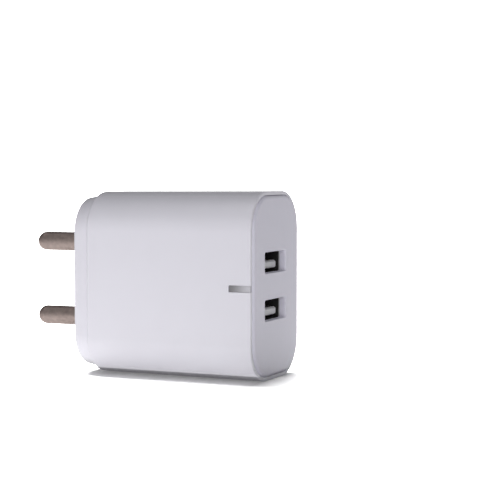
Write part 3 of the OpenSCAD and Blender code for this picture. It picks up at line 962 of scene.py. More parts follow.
    def mirror(self, axis: Axis, about: float = 0.0) -> "Workpiece":
        """Mirrors the mesh in place.

        Args:
            axis: Direction that is turned round.
            about: Where the mirror is along that direction.

        Returns:
            The workpiece.
        """
        self.edit()
        bpy.ops.mesh.select_all(action="SELECT")
        flip = [-1.0 if a else 1.0 for a in axis.value]
        centre = Vector(axis.value) * about
        bpy.ops.transform.resize(value=flip, center_override=centre)
        bpy.ops.mesh.normals_make_consistent(inside=False)
        return self.done()

    def finish(self, material: bpy.types.Material, stands_for: Sequence[str], slot: str,
               angle: float = 30.0) -> bpy.types.Object:
        """Brings the piece to metres, shades it and puts it in the place of CAD nodes.

        Args:
            material: Its material.
            stands_for: The CAD nodes that it stands for.
            slot: The material slot's name in the record; not used.
            angle: Edges flatter than this many degrees are shaded smooth.

        Returns:
            The finished object.
        """
        obj = self.obj
        only(obj)
        obj.scale = (MM, MM, MM)
        bpy.ops.object.transform_apply(location=True, rotation=True, scale=True)
        bpy.ops.object.shade_smooth_by_angle(angle=math.radians(angle))
        weigh = obj.modifiers.new("weigh", "WEIGHTED_NORMAL")
        weigh.keep_sharp = True
        bpy.ops.object.modifier_apply(modifier=weigh.name)
        obj.data.materials.clear()
        obj.data.materials.append(material)
        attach(obj, "root")
        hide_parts(*stands_for)
        LOG.info("%s: %d faces", obj.name, len(obj.data.polygons))
        return obj


def only_none() -> None:
    """Leaves nothing selected, in object mode."""
    if bpy.context.object and bpy.context.object.mode != "OBJECT":
        bpy.ops.object.mode_set(mode="OBJECT")
    bpy.ops.object.select_all(action="DESELECT")


def rounded_block(name: str, x: tuple[float, float], thick: float, high: float, radius: float,
                  centre: tuple[float, float] = (0.0, 0.0), segments: int = 12) -> Workpiece:
    """Makes a block whose four edges along X are rounded.

    Args:
        name: The object's name.
        x: Where it starts and ends along X.
        thick: Size along Y.
        high: Size along Z.
        radius: Radius of the corners.
        centre: (Y, Z) of its middle.
        segments: Steps of each corner.

    Returns:
        The workpiece.
    """
    y0, z0 = centre
    low = (x[0], y0 - thick / 2, z0 - high / 2)
    high_corner = (x[1], y0 + thick / 2, z0 + high / 2)
    return Workpiece.block(name, low, high_corner).round_corners(Corners.ALONG_X, radius, segments)


def at_x(x: float) -> Callable[[Vector, Vector], bool]:
    """Gives a test for edges that lie in the plane at x.

    Args:
        x: The plane's place.

    Returns:
        The test.
    """
    return lambda a, b: abs(a.x - x) < 1e-3 and abs(b.x - x) < 1e-3


# ---------------------------------------------------------------- the charger's sizes


@dataclass(frozen=True)
class Sizes:
    """Sizes of the charger in millimetres.

    Attributes:
        high_front, high_back: Height of the body at the ports and at the cap.
        thick_front, thick_back: Thickness of the body at the ports and at the cap.
        end: Where the shell's rim is along X.
        corner: Radius of the body's four long corners.
        wall: Thickness of the shell's wall.
        shell_edge: Rounding of the shell's edge beside the cap.
        cap_rise: How far the cap stands out of the shell.
        cap_inset: Step from the shell in to the cap.
        cap_draft: How much the cap narrows towards its face.
        cap_face: Thickness of the cap's face.
        cap_edge: Rounding of the cap's face.
        cap_skirt: How far the cap's skirt goes inside the shell.
        mark: Diameter of the ring mark.
        pin_d, pin_len: Diameter of a pin and how far it stands out.
        pin_z: Distance of a pin's axis from the middle.
        neck, tail_r: Radius of a pin's neck in the cap and of its tail.
        flange_r, flange_from, flange_to: Radius of a pin's flange and its ends along X.
        rim: Thickness of the shell's wall round the port plate.
        gap: Gap between that wall and the plate.
        seat: How far behind the rim the back of the plate is.
        proud: How far in front of the rim its face is.
        plate_edge: Rounding of the plate's face.
        port_y, port_z: A port's middle along Y and its distance from the middle along Z.
        window_w, window_h, window_r: Width, height and corner radius of a window.
        slot_len, slot_h: Length and width of the indicator's slot.
        port_w, port_h, port_r: Outer width, height and corner radius of a port's steel shell.
        sheet: Thickness of that steel.
        port_seat: How far behind the plate's face the steel starts.
        port_len: Length of the steel shell.
        board_y, board_t: Where the board's nearer face is along Y and its thickness.
    """

    high_front: float = 45.3
    high_back: float = 44.7
    thick_front: float = 29.4
    thick_back: float = 28.6
    end: float = 48.4
    corner: float = 9.4
    wall: float = 2.0
    shell_edge: float = 0.8
    cap_rise: float = 4.3
    cap_inset: float = 0.9
    cap_draft: float = 0.65
    cap_face: float = 2.4
    cap_edge: float = 0.7
    cap_skirt: float = 4.5
    mark: float = 7.0
    pin_d: float = 4.8
    pin_len: float = 17.4
    pin_z: float = 9.5
    neck: float = 2.0
    flange_r: float = 3.2
    flange_from: float = 5.0
    flange_to: float = 6.0
    tail_r: float = 1.8
    rim: float = 0.95
    gap: float = 0.1
    seat: float = 2.2
    proud: float = 0.45
    plate_edge: float = 0.8
    port_y: float = -0.7
    port_z: float = 5.7
    window_w: float = 12.9
    window_h: float = 4.9
    window_r: float = 0.75
    slot_len: float = 5.7
    slot_h: float = 1.6
    port_w: float = 13.1
    port_h: float = 5.7
    port_r: float = 1.0
    sheet: float = 0.3
    port_seat: float = 1.6
    port_len: float = 12.5
    board_y: float = 6.3
    board_t: float = 1.6

    @property
    def plate_back(self) -> float:
        """Where the port plate's back is along X."""
        return self.end - self.seat

    @property
    def plate_front(self) -> float:
        """Where the port plate's face is along X."""
        return self.end + self.proud

    @property
    def mouth(self) -> float:
        """Where the ports' steel mouths are along X."""
        return self.plate_front - self.port_seat

    @property
    def port_back(self) -> float:
        """Where the ports' steel shells end along X."""
        return self.mouth - self.port_len

    def side_y(self, x: float) -> float:
        """Gives how far the broad faces are from the middle.

        Args:
            x: Place along the body.

        Returns:
            The distance.
        """
        share = (x - self.cap_rise) / (self.end - self.cap_rise)
        return (self.thick_back + (self.thick_front - self.thick_back) * share) / 2


SIZE = Sizes()


# ---------------------------------------------------------------- sub-assemblies


@dataclass
class CaseShell:
    """The white case: a tapered tube with a rim round the port plate and the indicator's slot.

    Attributes:
        material: Its plastic.
        corner_steps: Steps of each long corner.
    """

    material: bpy.types.Material
    corner_steps: int = 16

    def build(self) -> None:
        """Models the case."""
        s = SIZE
        shell = rounded_block("case_shell", (s.cap_rise, s.end), s.thick_front, s.high_front,
                              s.corner, segments=self.corner_steps)
        shell.taper(lambda v: v.x < s.cap_rise + 0.01, (s.thick_front - s.thick_back) / 2,
                    (s.high_front - s.high_back) / 2)
        front = s.end
        seat = s.plate_back
        shell.extrude_faces(lambda c, n: n.x > 0.9 and c.x > front - 0.01, (-s.seat, 0, 0), s.rim)
        shell.extrude_faces(lambda c, n: n.x > 0.9 and abs(c.x - seat) < 0.01 and abs(c.y) < 1,
                            (0, 0, 0), s.wall - s.rim)
        shell.extrude_faces(lambda c, n: n.x < -0.9 and c.x < s.cap_rise + 0.01, (0, 0, 0), s.wall)
        self._open_through(shell)
        shell.bevel_edges(self._outline(s.cap_rise, outer=True), s.shell_edge, 5)
        shell.bevel_edges(self._outline(front, outer=True), 0.35, 4)
        shell.bevel_edges(self._outline(front, outer=False), 0.1, 2)
        self._slot(shell)
        self._rails(shell)
        shell.finish(self.material, ["body_shell"], "case_plastic")

    @staticmethod
    def _outline(x: float, outer: bool) -> Callable[[Vector, Vector], bool]:
        """Gives a test for the outer or inner outline in the plane at x.

        Args:
            x: The plane's place.
            outer: Whether it is the outer outline that is wanted.

        Returns:
            The test.
        """
        s = SIZE

        def test(a: Vector, b: Vector) -> bool:
            """Says whether an edge is part of the outline.

            Args:
                a: One end of the edge.
                b: Its other end.

            Returns:
                True if it is.
            """
            if not at_x(x)(a, b):
                return False
            middle = (a + b) / 2
            half_y = s.side_y(x)
            half_z = (s.high_back if x < s.cap_rise + 0.1 else s.high_front) / 2
            corner_y, corner_z = half_y - s.corner, half_z - s.corner
            over_y = max(abs(middle.y) - corner_y, 0.0)
            over_z = max(abs(middle.z) - corner_z, 0.0)
            out = math.hypot(over_y, over_z)
            return (out > s.corner - 0.4) if outer else (out < s.corner - 0.6)

        return test

    @staticmethod
    def _open_through(shell: Workpiece) -> None:
        """Joins the two inner outlines into the inside of the tube.

        Args:
            shell: The shell so far.
        """
        shell.pick_faces(lambda c, n: abs(n.x) > 0.9 and abs(c.y) < 1 and abs(c.z) < 1)
        bpy.ops.mesh.bridge_edge_loops()
        bpy.ops.mesh.select_all(action="SELECT")
        bpy.ops.mesh.normals_make_consistent(inside=False)
        shell.done()

    @staticmethod
    def _slot(shell: Workpiece) -> None:
        """Cuts the indicator's slot and eases its edges.

        Args:
            shell: The shell so far.
        """
        s = SIZE
        x0 = s.end - s.slot_len
        half = s.slot_h / 2
        cutter = Workpiece.block("slot_cutter", (x0, -s.thick_front / 2 - 1, -half),
                                 (s.end + 1, -s.thick_front / 2 + s.wall + 1, half))
        cutter.bevel_edges(lambda a, b: a.x < x0 + 0.01 and b.x < x0 + 0.01
                           and abs(a.y - b.y) > 1, 0.15, 3)
        shell.combine(cutter, Cut.AWAY)

        def on_face(v: Vector) -> bool:
            """Says whether a vertex is on the broad face at the slot."""
            return v.x > x0 - 0.01 and abs(v.z) < half + 0.01 and abs(v.y + s.side_y(v.x)) < 0.01

        def mouth(a: Vector, b: Vector) -> bool:
            """Says whether an edge is round the slot's mouth.

            Args:
                a: One end of the edge.
                b: Its other end.

            Returns:
                True if it is.
            """
            inner_end = max(a.x, b.x) < x0 + 0.2
            side = abs(abs(a.z) - half) < 1e-3 and abs(a.z - b.z) < 1e-3
            return on_face(a) and on_face(b) and (inner_end or side)

        shell.bevel_edges(mouth, 0.07, 2)

    @staticmethod
    def _rails(shell: Workpiece) -> None:
        """Adds the two rails on each narrow side that the board slides between.

        Args:
            shell: The shell so far.
        """
        s = SIZE
        fit, thick, start, top = 0.1, 0.9, s.cap_rise + 5, 17.9
        places = ((s.board_y - fit - thick, 21.1), (s.board_y + s.board_t + fit, 20.5))
        for y, root in places:
            rail = Workpiece.block("rail", (start, y, top), (s.plate_back - 0.9, y + thick, root))
            rail.bevel_edges(lambda a, b: a.z < top + 0.01 and b.z < top + 0.01, 0.15, 2)
            lower = rail.copy().mirror(Axis.Z)
            shell.add(rail, lower)


@dataclass
class PortPlate:
    """The grey-white plate with the two port windows, its collars and its snap hooks.

    Attributes:
        material: Its plastic.
    """

    material: bpy.types.Material

    def build(self) -> None:
        """Models the plate."""
        s = SIZE
        inside = s.rim + s.gap
        plate = rounded_block("port_plate", (s.plate_back, s.plate_front),
                              s.thick_front - 2 * inside, s.high_front - 2 * inside,
                              s.corner - inside, segments=16)
        plate.bevel_edges(at_x(s.plate_front), s.plate_edge, 6)
        plate.bevel_edges(at_x(s.plate_back), 0.12, 2)
        for side in (1, -1):
            plate.combine(self._window_cutter(side * s.port_z), Cut.AWAY)
        for side in (1, -1):
            plate.add(*self._collar(side * s.port_z))
            plate.add(self._hook(side))
        plate.finish(self.material, ["front_plate"], "plate_plastic")

    @staticmethod
    def _window_cutter(z: float) -> Workpiece:
        """Makes the shape that a window and its pocket leave.

        Args:
            z: Height of the window's middle.

        Returns:
            The cutter.
        """
        s = SIZE
        centre = (s.port_y, z)
        cutter = rounded_block("window_cutter", (s.plate_back - 1, s.plate_front), s.window_w,
                               s.window_h, s.window_r, centre, 6)
        ease = 0.36
        grow = ease + 0.05
        cutter.extrude_faces(lambda c, n: n.x > 0.9, (grow, 0, 0))

        def front(v: Vector) -> bool:
            """Says whether a vertex is at the cutter's front end."""
            return v.x > s.plate_front + 0.01

        cutter.shift(lambda v: v.x > s.plate_front - 0.01 and not front(v), (-ease, 0, 0))
        cutter.shift(lambda v: front(v) and v.y > s.port_y, (0, grow, 0))
        cutter.shift(lambda v: front(v) and v.y < s.port_y, (0, -grow, 0))
        cutter.shift(lambda v: front(v) and v.z > z, (0, 0, grow))
        cutter.shift(lambda v: front(v) and v.z < z, (0, 0, -grow))
        pocket = rounded_block("pocket_cutter", (s.plate_back - 1.2, s.mouth + 0.1),
                               s.port_w + 0.1, s.port_h + 0.1, s.port_r + 0.05, centre, 5)
        return cutter.combine(pocket, Cut.TOGETHER)

    @staticmethod
    def _collar(z: float) -> list[Workpiece]:
        """Makes the three walls behind the plate that hold a port's mouth.

        Args:
            z: Height of the port's middle.

        Returns:
            The walls.
        """
        s = SIZE
        wall, length = 0.75, 1.7
        x = (s.plate_back - length, s.plate_back + 0.3)
        inner_y = s.port_y - s.port_w / 2 - 0.1
        half = s.port_h / 2 + 0.1
        side = Workpiece.block("collar", (x[0], inner_y - wall, z - half - wall),
                               (x[1], inner_y, z + half + wall)).soften(0.12)
        parts = [side]
        for low in (z - half - wall, z + half):
            parts.append(Workpiece.block(
                "collar", (x[0], inner_y - 0.1, low),
                (x[1], inner_y - wall + s.port_w, low + wall)).soften(0.12))
        return parts

    @staticmethod
    def _hook(side: int) -> Workpiece:
        """Makes a snap hook behind the plate.

        Args:
            side: 1 for the upper one, -1 for the lower.

        Returns:
            The hook.
        """
        s = SIZE
        share = (s.plate_back - s.cap_rise) / (s.end - s.cap_rise)
        top = (s.high_back + (s.high_front - s.high_back) * share) / 2 - s.wall - 0.2
        x = s.plate_back
        section = [(x + 0.6, top - 1.2), (x + 0.6, top), (x - 0.2, top), (x - 2.6, top - 0.1),
                   (x - 3.4, top - 0.7), (x - 3.4, top - 1.2)]
        hook = Workpiece.swept("hook", section, Axis.Y, -3, 6).soften(0.12)
        return hook if side > 0 else hook.mirror(Axis.Z)


@dataclass
class PlugCap:
    """The cap that closes the plug end, with its skirt, pin bosses and ring mark.

    Attributes:
        material: Its plastic.
        boss_from: Where a pin's boss starts, inside the plug face.
        boss_end: Where it ends.
        boss_r: Its radius.
    """

    material: bpy.types.Material
    boss_from: float = 1.2
    boss_end: float = 8.4
    boss_r: float = 4.4

    def build(self) -> None:
        """Models the cap."""
        s = SIZE
        thick = s.thick_back - 2 * s.cap_inset
        high = s.high_back - 2 * s.cap_inset
        cap = rounded_block("plug_cap", (0, s.cap_rise), thick, high, s.corner - s.cap_inset,
                            segments=16)
        cap.taper(lambda v: v.x < 0.01, s.cap_draft, s.cap_draft)
        skirt = s.wall + 0.1 - s.cap_inset
        back = s.cap_rise + s.cap_skirt
        cap.extrude_faces(lambda c, n: n.x > 0.9 and c.x > s.cap_rise - 0.01,
                          (s.cap_skirt, 0, 0), skirt)
        cap.extrude_faces(lambda c, n: n.x > 0.9 and c.x > back - 0.01,
                          (s.cap_face - back, 0, 0), 1.2)
        cap.bevel_edges(at_x(0.0), s.cap_edge, 6)
        cap.bevel_edges(at_x(back), 0.15, 2)
        for side in (1, -1):
            z = side * s.pin_z
            boss = Workpiece.turned(
                "boss", [(self.boss_from, 0), (self.boss_from, self.boss_r),
                         (self.boss_end - 0.2, self.boss_r), (self.boss_end, self.boss_r - 0.2),
                         (self.boss_end, 0)], (0, 0, z))
            cap.combine(boss, Cut.TOGETHER)
        for side in (1, -1):
            z = side * s.pin_z
            bore = [(-1, 0), (-1, 2.78), (-0.06, 2.78), (0.12, 2.58), (0.5, 2.58), (0.5, s.neck),
                    (s.flange_from, s.neck), (s.flange_from, s.flange_r),
                    (s.flange_to, s.flange_r), (s.flange_to, s.tail_r), (9, s.tail_r), (9, 0)]
            cap.combine(Workpiece.turned("bore", bore, (0, 0, z)), Cut.AWAY)
        cap.combine(self._ring_cutter(), Cut.AWAY).weld()
        cap.finish(self.material, ["pin_cap"], "case_plastic")

    @staticmethod
    def _ring_cutter() -> Workpiece:
        """Makes the shape of the ring mark's groove.

        Returns:
            The cutter.
        """
        width, depth, ease, proud = 0.8, 0.25, 0.12, 0.07
        outer = SIZE.mark / 2
        inner = outer - width
        slope = proud + ease
        profile = [(-1, inner - slope), (-1, outer + slope), (-proud, outer + slope),
                   (ease, outer), (depth - 0.05, outer - 0.02), (depth, outer - 0.1),
                   (depth, inner + 0.1), (depth - 0.05, inner + 0.02), (ease, inner),
                   (-proud, inner - slope)]
        profile.append(profile[0])
        return Workpiece.turned("ring_cutter", profile, steps=64)


@dataclass
class PlugPin:
    """A round plug pin with a domed tip, a neck and flange in the cap, and a tail for its spring.

    Attributes:
        name: The piece's name.
        node: The CAD node that it stands for.
        z: Height of its axis.
        material: Its metal.
        tail_end: Where its tail ends behind the plug face.
    """

    name: str
    node: str
    z: float
    material: bpy.types.Material
    tail_end: float = 9.4

    def build(self) -> None:
        """Models the pin."""
        s = SIZE
        r = s.pin_d / 2
        tip = -s.pin_len
        dome = [(tip + r * (1 - math.cos(a)), r * math.sin(a))
                for a in (math.radians(7.5 * i) for i in range(13))]
        groove = [(-0.7, r), (-0.62, r - 0.06), (-0.5, r - 0.06), (-0.42, r)]
        ease = 0.05
        neck = [(-0.04, r), (0.0, r - 0.04), (0.0, s.neck), (s.flange_from, s.neck)]
        flange = [(s.flange_from, s.flange_r - ease), (s.flange_from + ease, s.flange_r),
                  (s.flange_to - ease, s.flange_r), (s.flange_to, s.flange_r - ease)]
        tail = [(s.flange_to, s.tail_r), (self.tail_end - 0.3, s.tail_r),
                (self.tail_end, s.tail_r - 0.3), (self.tail_end, 0)]
        profile = dome + groove + neck + flange + tail
        pin = Workpiece.turned(self.name, profile, (0, 0, self.z), steps=56)
        pin.finish(self.material, [self.node], "nickel", angle=40)


@dataclass
class ContactSpring:
    """A bent brass strip that presses on a pin's tail.

    Attributes:
        name: The piece's name.
        node: The CAD node that it stands for.
        z: Height of its middle.
        material: Its metal.
    """

    name: str
    node: str
    z: float
    material: bpy.types.Material

    def build(self) -> None:
        """Models the strip and its dimpled contact end."""
        strip = bent_strip("spring", [(10.9, 8.9), (10.9, 4.6), (9.58, 0.7), (9.58, -0.7),
                                      (10.8, -3)], 0.3, Axis.Z, self.z - 1.5, 3.0)
        strip.bevel_edges(lambda a, b: abs(a.z - b.z) < 1e-3 and min(a.y, b.y) < -2.9, 0.1, 1)
        strip.soften(0.05, 2, 40)
        strip.obj.name = self.name
        strip.finish(self.material, [self.node], "spring_brass")


def bent_strip(name: str, path: Sequence[tuple[float, float]], thick: float, along: Axis,
               start: float, width: float) -> Workpiece:
    """Makes a strip of constant thickness that follows a path.

    Args:
        name: The object's name.
        path: Points of its middle line: (X, Z) for Y, (X, Y) for Z and (Y, Z) for X.
        thick: Thickness of the strip.
        along: Direction of its width.
        start: Where its width starts.
        width: Its width.

    Returns:
        The workpiece.
    """
    spots = [Vector(p) for p in path]
    left, right = [], []
    for i, spot in enumerate(spots):
        before = (spots[i] - spots[i - 1]) if i else (spots[1] - spots[0])
        after = (spots[i + 1] - spots[i]) if i < len(spots) - 1 else before
        before, after = before.normalized(), after.normalized()
        middle = (before + after).normalized()
        out = Vector((-middle.y, middle.x)) * (thick / 2 / before.dot(middle))
        left.append(tuple(spot + out))
        right.append(tuple(spot - out))
    return Workpiece.swept(name, left + right[::-1], along, start, width)


@dataclass
class LightPipe:
    """The lens in the indicator's slot, with the flange and stub behind it. Its colour is painted
    shade, dark at the slot's inner end and fading to lit grey at the rim.

    Attributes:
        material: Its plastic.
    """

    material: bpy.types.Material

    def build(self) -> None:
        """Models the lens."""
        s = SIZE
        x0, x1 = s.end - s.slot_len + 0.05, s.end - 0.15
        wall_y = -s.side_y(s.end - s.slot_len) + s.wall
        inset = 0.12
        ledge = -s.thick_front / 2 + s.rim - 0.05
        section = [(x0, -s.side_y(x0) + inset), (x1, -s.side_y(x1) + inset), (x1, ledge),
                   (s.plate_back - 0.1, ledge), (s.plate_back - 0.1, wall_y + 0.5),
                   (x0, wall_y + 0.5)]
        half = s.slot_h / 2 - 0.04
        lens = Workpiece.swept("light_pipe_lens", section, Axis.Z, -half, 2 * half)
        lens.bevel_edges(lambda a, b: max(a.y, b.y) < -14, 0.06, 2)
        flange = Workpiece.block("flange", (s.end - s.slot_len - 2, wall_y + 0.08, -2),
                                 (s.plate_back - 0.1, wall_y + 1.18, 2)).soften(0.1)
        tip = s.board_y - 12.3
        stub = Workpiece.turned("stub", [(wall_y + 0.6, 0), (wall_y + 0.6, 1.5), (tip - 0.5, 1.5),
                                         (tip - 0.3, 1.3), (tip - 0.3, 0)], (43.3, 0, 0), Axis.Y)
        lens.add(flange, stub)
        # its material paints shade that darkens towards the slot's inner end
        lens.finish(self.material, ["light_pipe"], "lens_plastic")


@dataclass
class UsbPort:
    """A USB port: the folded steel shell, the plastic tongue and its four contacts.

    Attributes:
        label: "upper" or "lower".
        z: Height of its middle.
        steel: Metal of the shell, which paints shade over its inside behind the mouth.
        plastic: Plastic of the insulator.
        gold: Metal of the contacts.
    """

    label: str
    z: float
    steel: bpy.types.Material
    plastic: bpy.types.Material
    gold: bpy.types.Material
    contact_y: tuple[float, ...] = (3.5, 1.0, -1.0, -3.5)
    drop: float = 0.8
    tongue_t: float = 1.84
    tongue_w: float = 11.1

    def build(self) -> None:
        """Models the port."""
        self._shell()
        self._insulator()
        self._contacts()

    def _shell(self) -> None:
        """Models the folded steel shell with its windows, tabs and board pegs."""
        s = SIZE
        centre = (s.port_y, self.z)
        shell = rounded_block(f"{self.label}_port_steel", (s.port_back, s.mouth), s.port_w,
                              s.port_h, s.port_r, centre, 5)
        shell.extrude_faces(lambda c, n: n.x > 0.9, (-0.2, 0, 0), s.sheet)
        shell.extrude_faces(lambda c, n: n.x < -0.9, (0, 0, 0), s.sheet)
        shell.pick_faces(lambda c, n: abs(n.x) > 0.9 and abs(c.y - s.port_y) < 1
                         and abs(c.z - self.z) < 1)
        bpy.ops.mesh.bridge_edge_loops()
        bpy.ops.mesh.select_all(action="SELECT")
        bpy.ops.mesh.normals_make_consistent(inside=False)
        shell.done()
        for y in (-3, 3):
            hole = Workpiece.block("hole", (s.mouth - 7.6, s.port_y + y - 1.1, self.z - s.port_h),
                                   (s.mouth - 1.6, s.port_y + y + 1.1, self.z + s.port_h))
            hole.round_corners(Corners.ALONG_Z, 0.25, 3)
            shell.combine(hole, Cut.AWAY)
        shell.soften(0.04, 1, 40)
        for side in (1, -1):
            for y in (-3, 3):
                shell.add(self._tab(side, s.port_y + y))
            for x in (2.2, 9.4):
                shell.add(self._peg(s.port_back + x, side))
        # the steel's material paints the shell near black behind its mouth, as shade
        shell.finish(self.steel, [f"{self.label}_port_shell"], "port_steel")

    def _tab(self, side: int, y: float) -> Workpiece:
        """Makes a sprung tab that leans into the port.

        Args:
            side: 1 for the port's upper wall, -1 for its lower.
            y: The tab's middle along Y.

        Returns:
            The tab.
        """
        s = SIZE
        high = (s.port_h - s.sheet) / 2
        x = s.mouth - 1.7
        path = [(x + 0.3, high), (x - 0.4, high), (x - 3.0, high - 0.3), (x - 3.9, high - 0.34),
                (x - 4.8, high - 0.1)]
        path = [(px, self.z + side * pz) for px, pz in path]
        return bent_strip("tab", path, s.sheet - 0.04, Axis.Y, y - 0.7, 1.4).soften(0.04, 1, 40)

    def _peg(self, x: float, side: int) -> Workpiece:
        """Makes a peg that is soldered in the board.

        Args:
            x: The peg's middle along X.
            side: 1 for the port's upper wall, -1 for its lower.

        Returns:
            The peg.
        """
        s = SIZE
        z = self.z + side * (s.port_h - s.sheet) / 2
        low = (x - 0.6, s.port_y + s.port_w / 2 - 0.8, z - s.sheet / 2)
        high = (x + 0.6, s.board_y + s.board_t + 1.0, z + s.sheet / 2)
        peg = Workpiece.block("peg", low, high)
        return peg.bevel_edges(lambda a, b: min(a.y, b.y) > high[1] - 0.01
                               and abs(a.z - b.z) > 0.1, 0.35, 2)

    def _insulator(self) -> None:
        """Models the tongue and the block that it grows from."""
        s = SIZE
        body = rounded_block(f"{self.label}_port_tongue", (s.port_back - 0.3, s.port_back + 3.7),
                             s.port_w - 0.7, s.port_h - 0.7, s.port_r - s.sheet,
                             (s.port_y, self.z), 4)
        body.soften(0.08)
        tip = s.mouth - 0.65
        half = self.tongue_t / 2
        low = self.z - self.drop
        section = [(s.port_back + 3.5, low - half), (s.port_back + 3.5, low + half),
                   (tip - 0.4, low + half), (tip, low + half - 0.4), (tip, low - half + 0.3),
                   (tip - 0.3, low - half)]
        tongue = Workpiece.swept("tongue", section, Axis.Y, s.port_y - self.tongue_w / 2,
                                 self.tongue_w)
        tongue.bevel_edges(lambda a, b: abs(a.y - b.y) < 1e-3 and min(a.x, b.x) > tip - 0.6, 0.3, 3)
        body.add(tongue)
        body.finish(self.plastic, [f"{self.label}_port_insulator"], "port_plastic")

    def _contacts(self) -> None:
        """Models the four gold-plated contacts and their tails."""
        s = SIZE
        low = self.z - self.drop
        top = low + self.tongue_t / 2
        tails = ((-0.6, 0.9), (-0.6, -0.9), (-2.3, 0.9), (-2.3, -0.9))
        parts = []
        for i, (y, (dx, dz)) in enumerate(zip(self.contact_y, tails)):
            front = s.mouth - 0.65 - (0.9 if i in (0, 3) else 1.7)
            x = s.port_back + dx
            across = s.port_y + y
            blade = Workpiece.block("blade", (x - 0.25, across - 0.5, top - 0.1),
                                    (front, across + 0.5, top + 0.04)).soften(0.04, 2)
            riser_z = sorted((top - 0.1, self.z + dz - 0.25))
            riser = Workpiece.block("riser", (x - 0.25, across - 0.25, riser_z[0]),
                                    (x + 0.25, across + 0.25, riser_z[1] + 0.2)).soften(0.05)
            tail = Workpiece.block("tail", (x - 0.25, across - 0.25, self.z + dz - 0.25),
                                   (x + 0.25, s.board_y + s.board_t + 1.6, self.z + dz + 0.25))
            parts += [blade, riser, tail.soften(0.08)]
        contacts = parts[0].add(*parts[1:])
        contacts.obj.name = f"{self.label}_port_blades"
        contacts.finish(self.gold, [f"{self.label}_port_contacts"], "gold_contact")


# ---------------------------------------------------------------- finishes and the stage


def finishes() -> list[Finish]:
    """Lists the charger's finishes, named after the record's material slots.

    Returns:
        The finishes.
    """
    return [
        Finish("case_plastic", (0.84, 0.825, 0.9), 0.3, 0.012, 0.05, coat=0.25, grain=3.0,
               relief=0.002),
        Finish("plate_plastic", (0.81, 0.79, 0.9), 0.36, 0.012, 0.05, coat=0.1, grain=4.0,
               relief=0.003),
        TurnedMetal("nickel", (0.44, 0.36, 0.335), 0.52, 0.12, 0.2, patch=0.45, metallic=1.0,
                    relief=0.01),
        Finish("spring_brass", (0.72, 0.5, 0.2), 0.3, 0.08, 0.1, metallic=1.0),
        # painted shade: the lens is dark at the slot's inner end and fades to its lit grey at the
        # rim
        PaintedDepthShade("lens_plastic", (0.21, 0.205, 0.215), 0.3, 0.05, 0.05, other=(0.62, 0.61, 0.66),
              start=42.4, end=48.4),
        Clear("clear_lamp", (0.95, 0.97, 0.95), 0.08, 0.02, 0.02),
        Finish("tinned_wire", (0.72, 0.72, 0.74), 0.25, 0.05, 0.1, metallic=1.0),
        Laminate("board_laminate", (0.5, 0.36, 0.12), 0.5, 0.08),
        Finish("solder", (0.75, 0.75, 0.77), 0.3, 0.08, 0.15, metallic=1.0, patch=0.8),
        # painted shade: the steel is nearly black behind 46.9 mm, where the port's inside lies in
        # shade, and lit steel at its mouth
        PaintedDepthShade("port_steel", (0.035, 0.035, 0.035), 0.5, 0.05, 0.1, metallic=0.6,
              other=(0.72, 0.72, 0.74), start=46.9, end=47.2),
        Finish("port_plastic", (0.78, 0.78, 0.79), 0.35, 0.03, 0.05),
        Finish("gold_contact", (0.9, 0.68, 0.28), 0.2, 0.05, 0.08, metallic=1.0),
        Finish("ferrite", (0.05, 0.05, 0.055), 0.6, 0.15, 0.1, relief=0.02),
        Finish("bobbin_plastic", (0.03, 0.03, 0.032), 0.4, 0.06),
        Wound("copper_wire", (0.5, 0.16, 0.05), 0.25, 0.1, metallic=1.0, turns=3.3, relief=0.05),
        Wound("yellow_tape", (0.8, 0.55, 0.04), 0.3, 0.05, turns=0.6, relief=0.02),
        Finish("can_aluminium", (0.8, 0.8, 0.82), 0.25, 0.04, 0.08, metallic=1.0),
        Finish("sleeve_black", (0.02, 0.02, 0.025), 0.25, 0.1, coat=0.2),
        Finish("sleeve_green", (0.02, 0.09, 0.06), 0.25, 0.1, coat=0.2),
        Finish("sleeve_blue", (0.02, 0.04, 0.16), 0.25, 0.1, coat=0.2),
        Finish("bung_rubber", (0.015, 0.015, 0.015), 0.75, 0.1),
        Finish("resistor_lacquer", (0.08, 0.22, 0.12), 0.3, 0.06, coat=0.3),
        Finish("blue_epoxy", (0.03, 0.1, 0.38), 0.3, 0.06, coat=0.3),
        Finish("epoxy_black", (0.022, 0.022, 0.024), 0.5, 0.1),
        Finish("chip_ceramic", (0.35, 0.25, 0.16), 0.45, 0.1),
        Clear("clear_sheet", (0.9, 0.88, 0.78), 0.15, 0.02, 0.03),
    ]


def dress_cad(materials: dict[str, bpy.types.Material]) -> None:
    """Gives every CAD node that is shown its slot's material.

    Args:
        materials: The materials by slot name.
    """
    slots = {p["node"]: p["material_slot"] for p in frame["record"]["subparts"]}
    for name, obj in frame["nodes"].items():
        obj.data.materials.clear()
        obj.data.materials.append(materials[slots[name]])


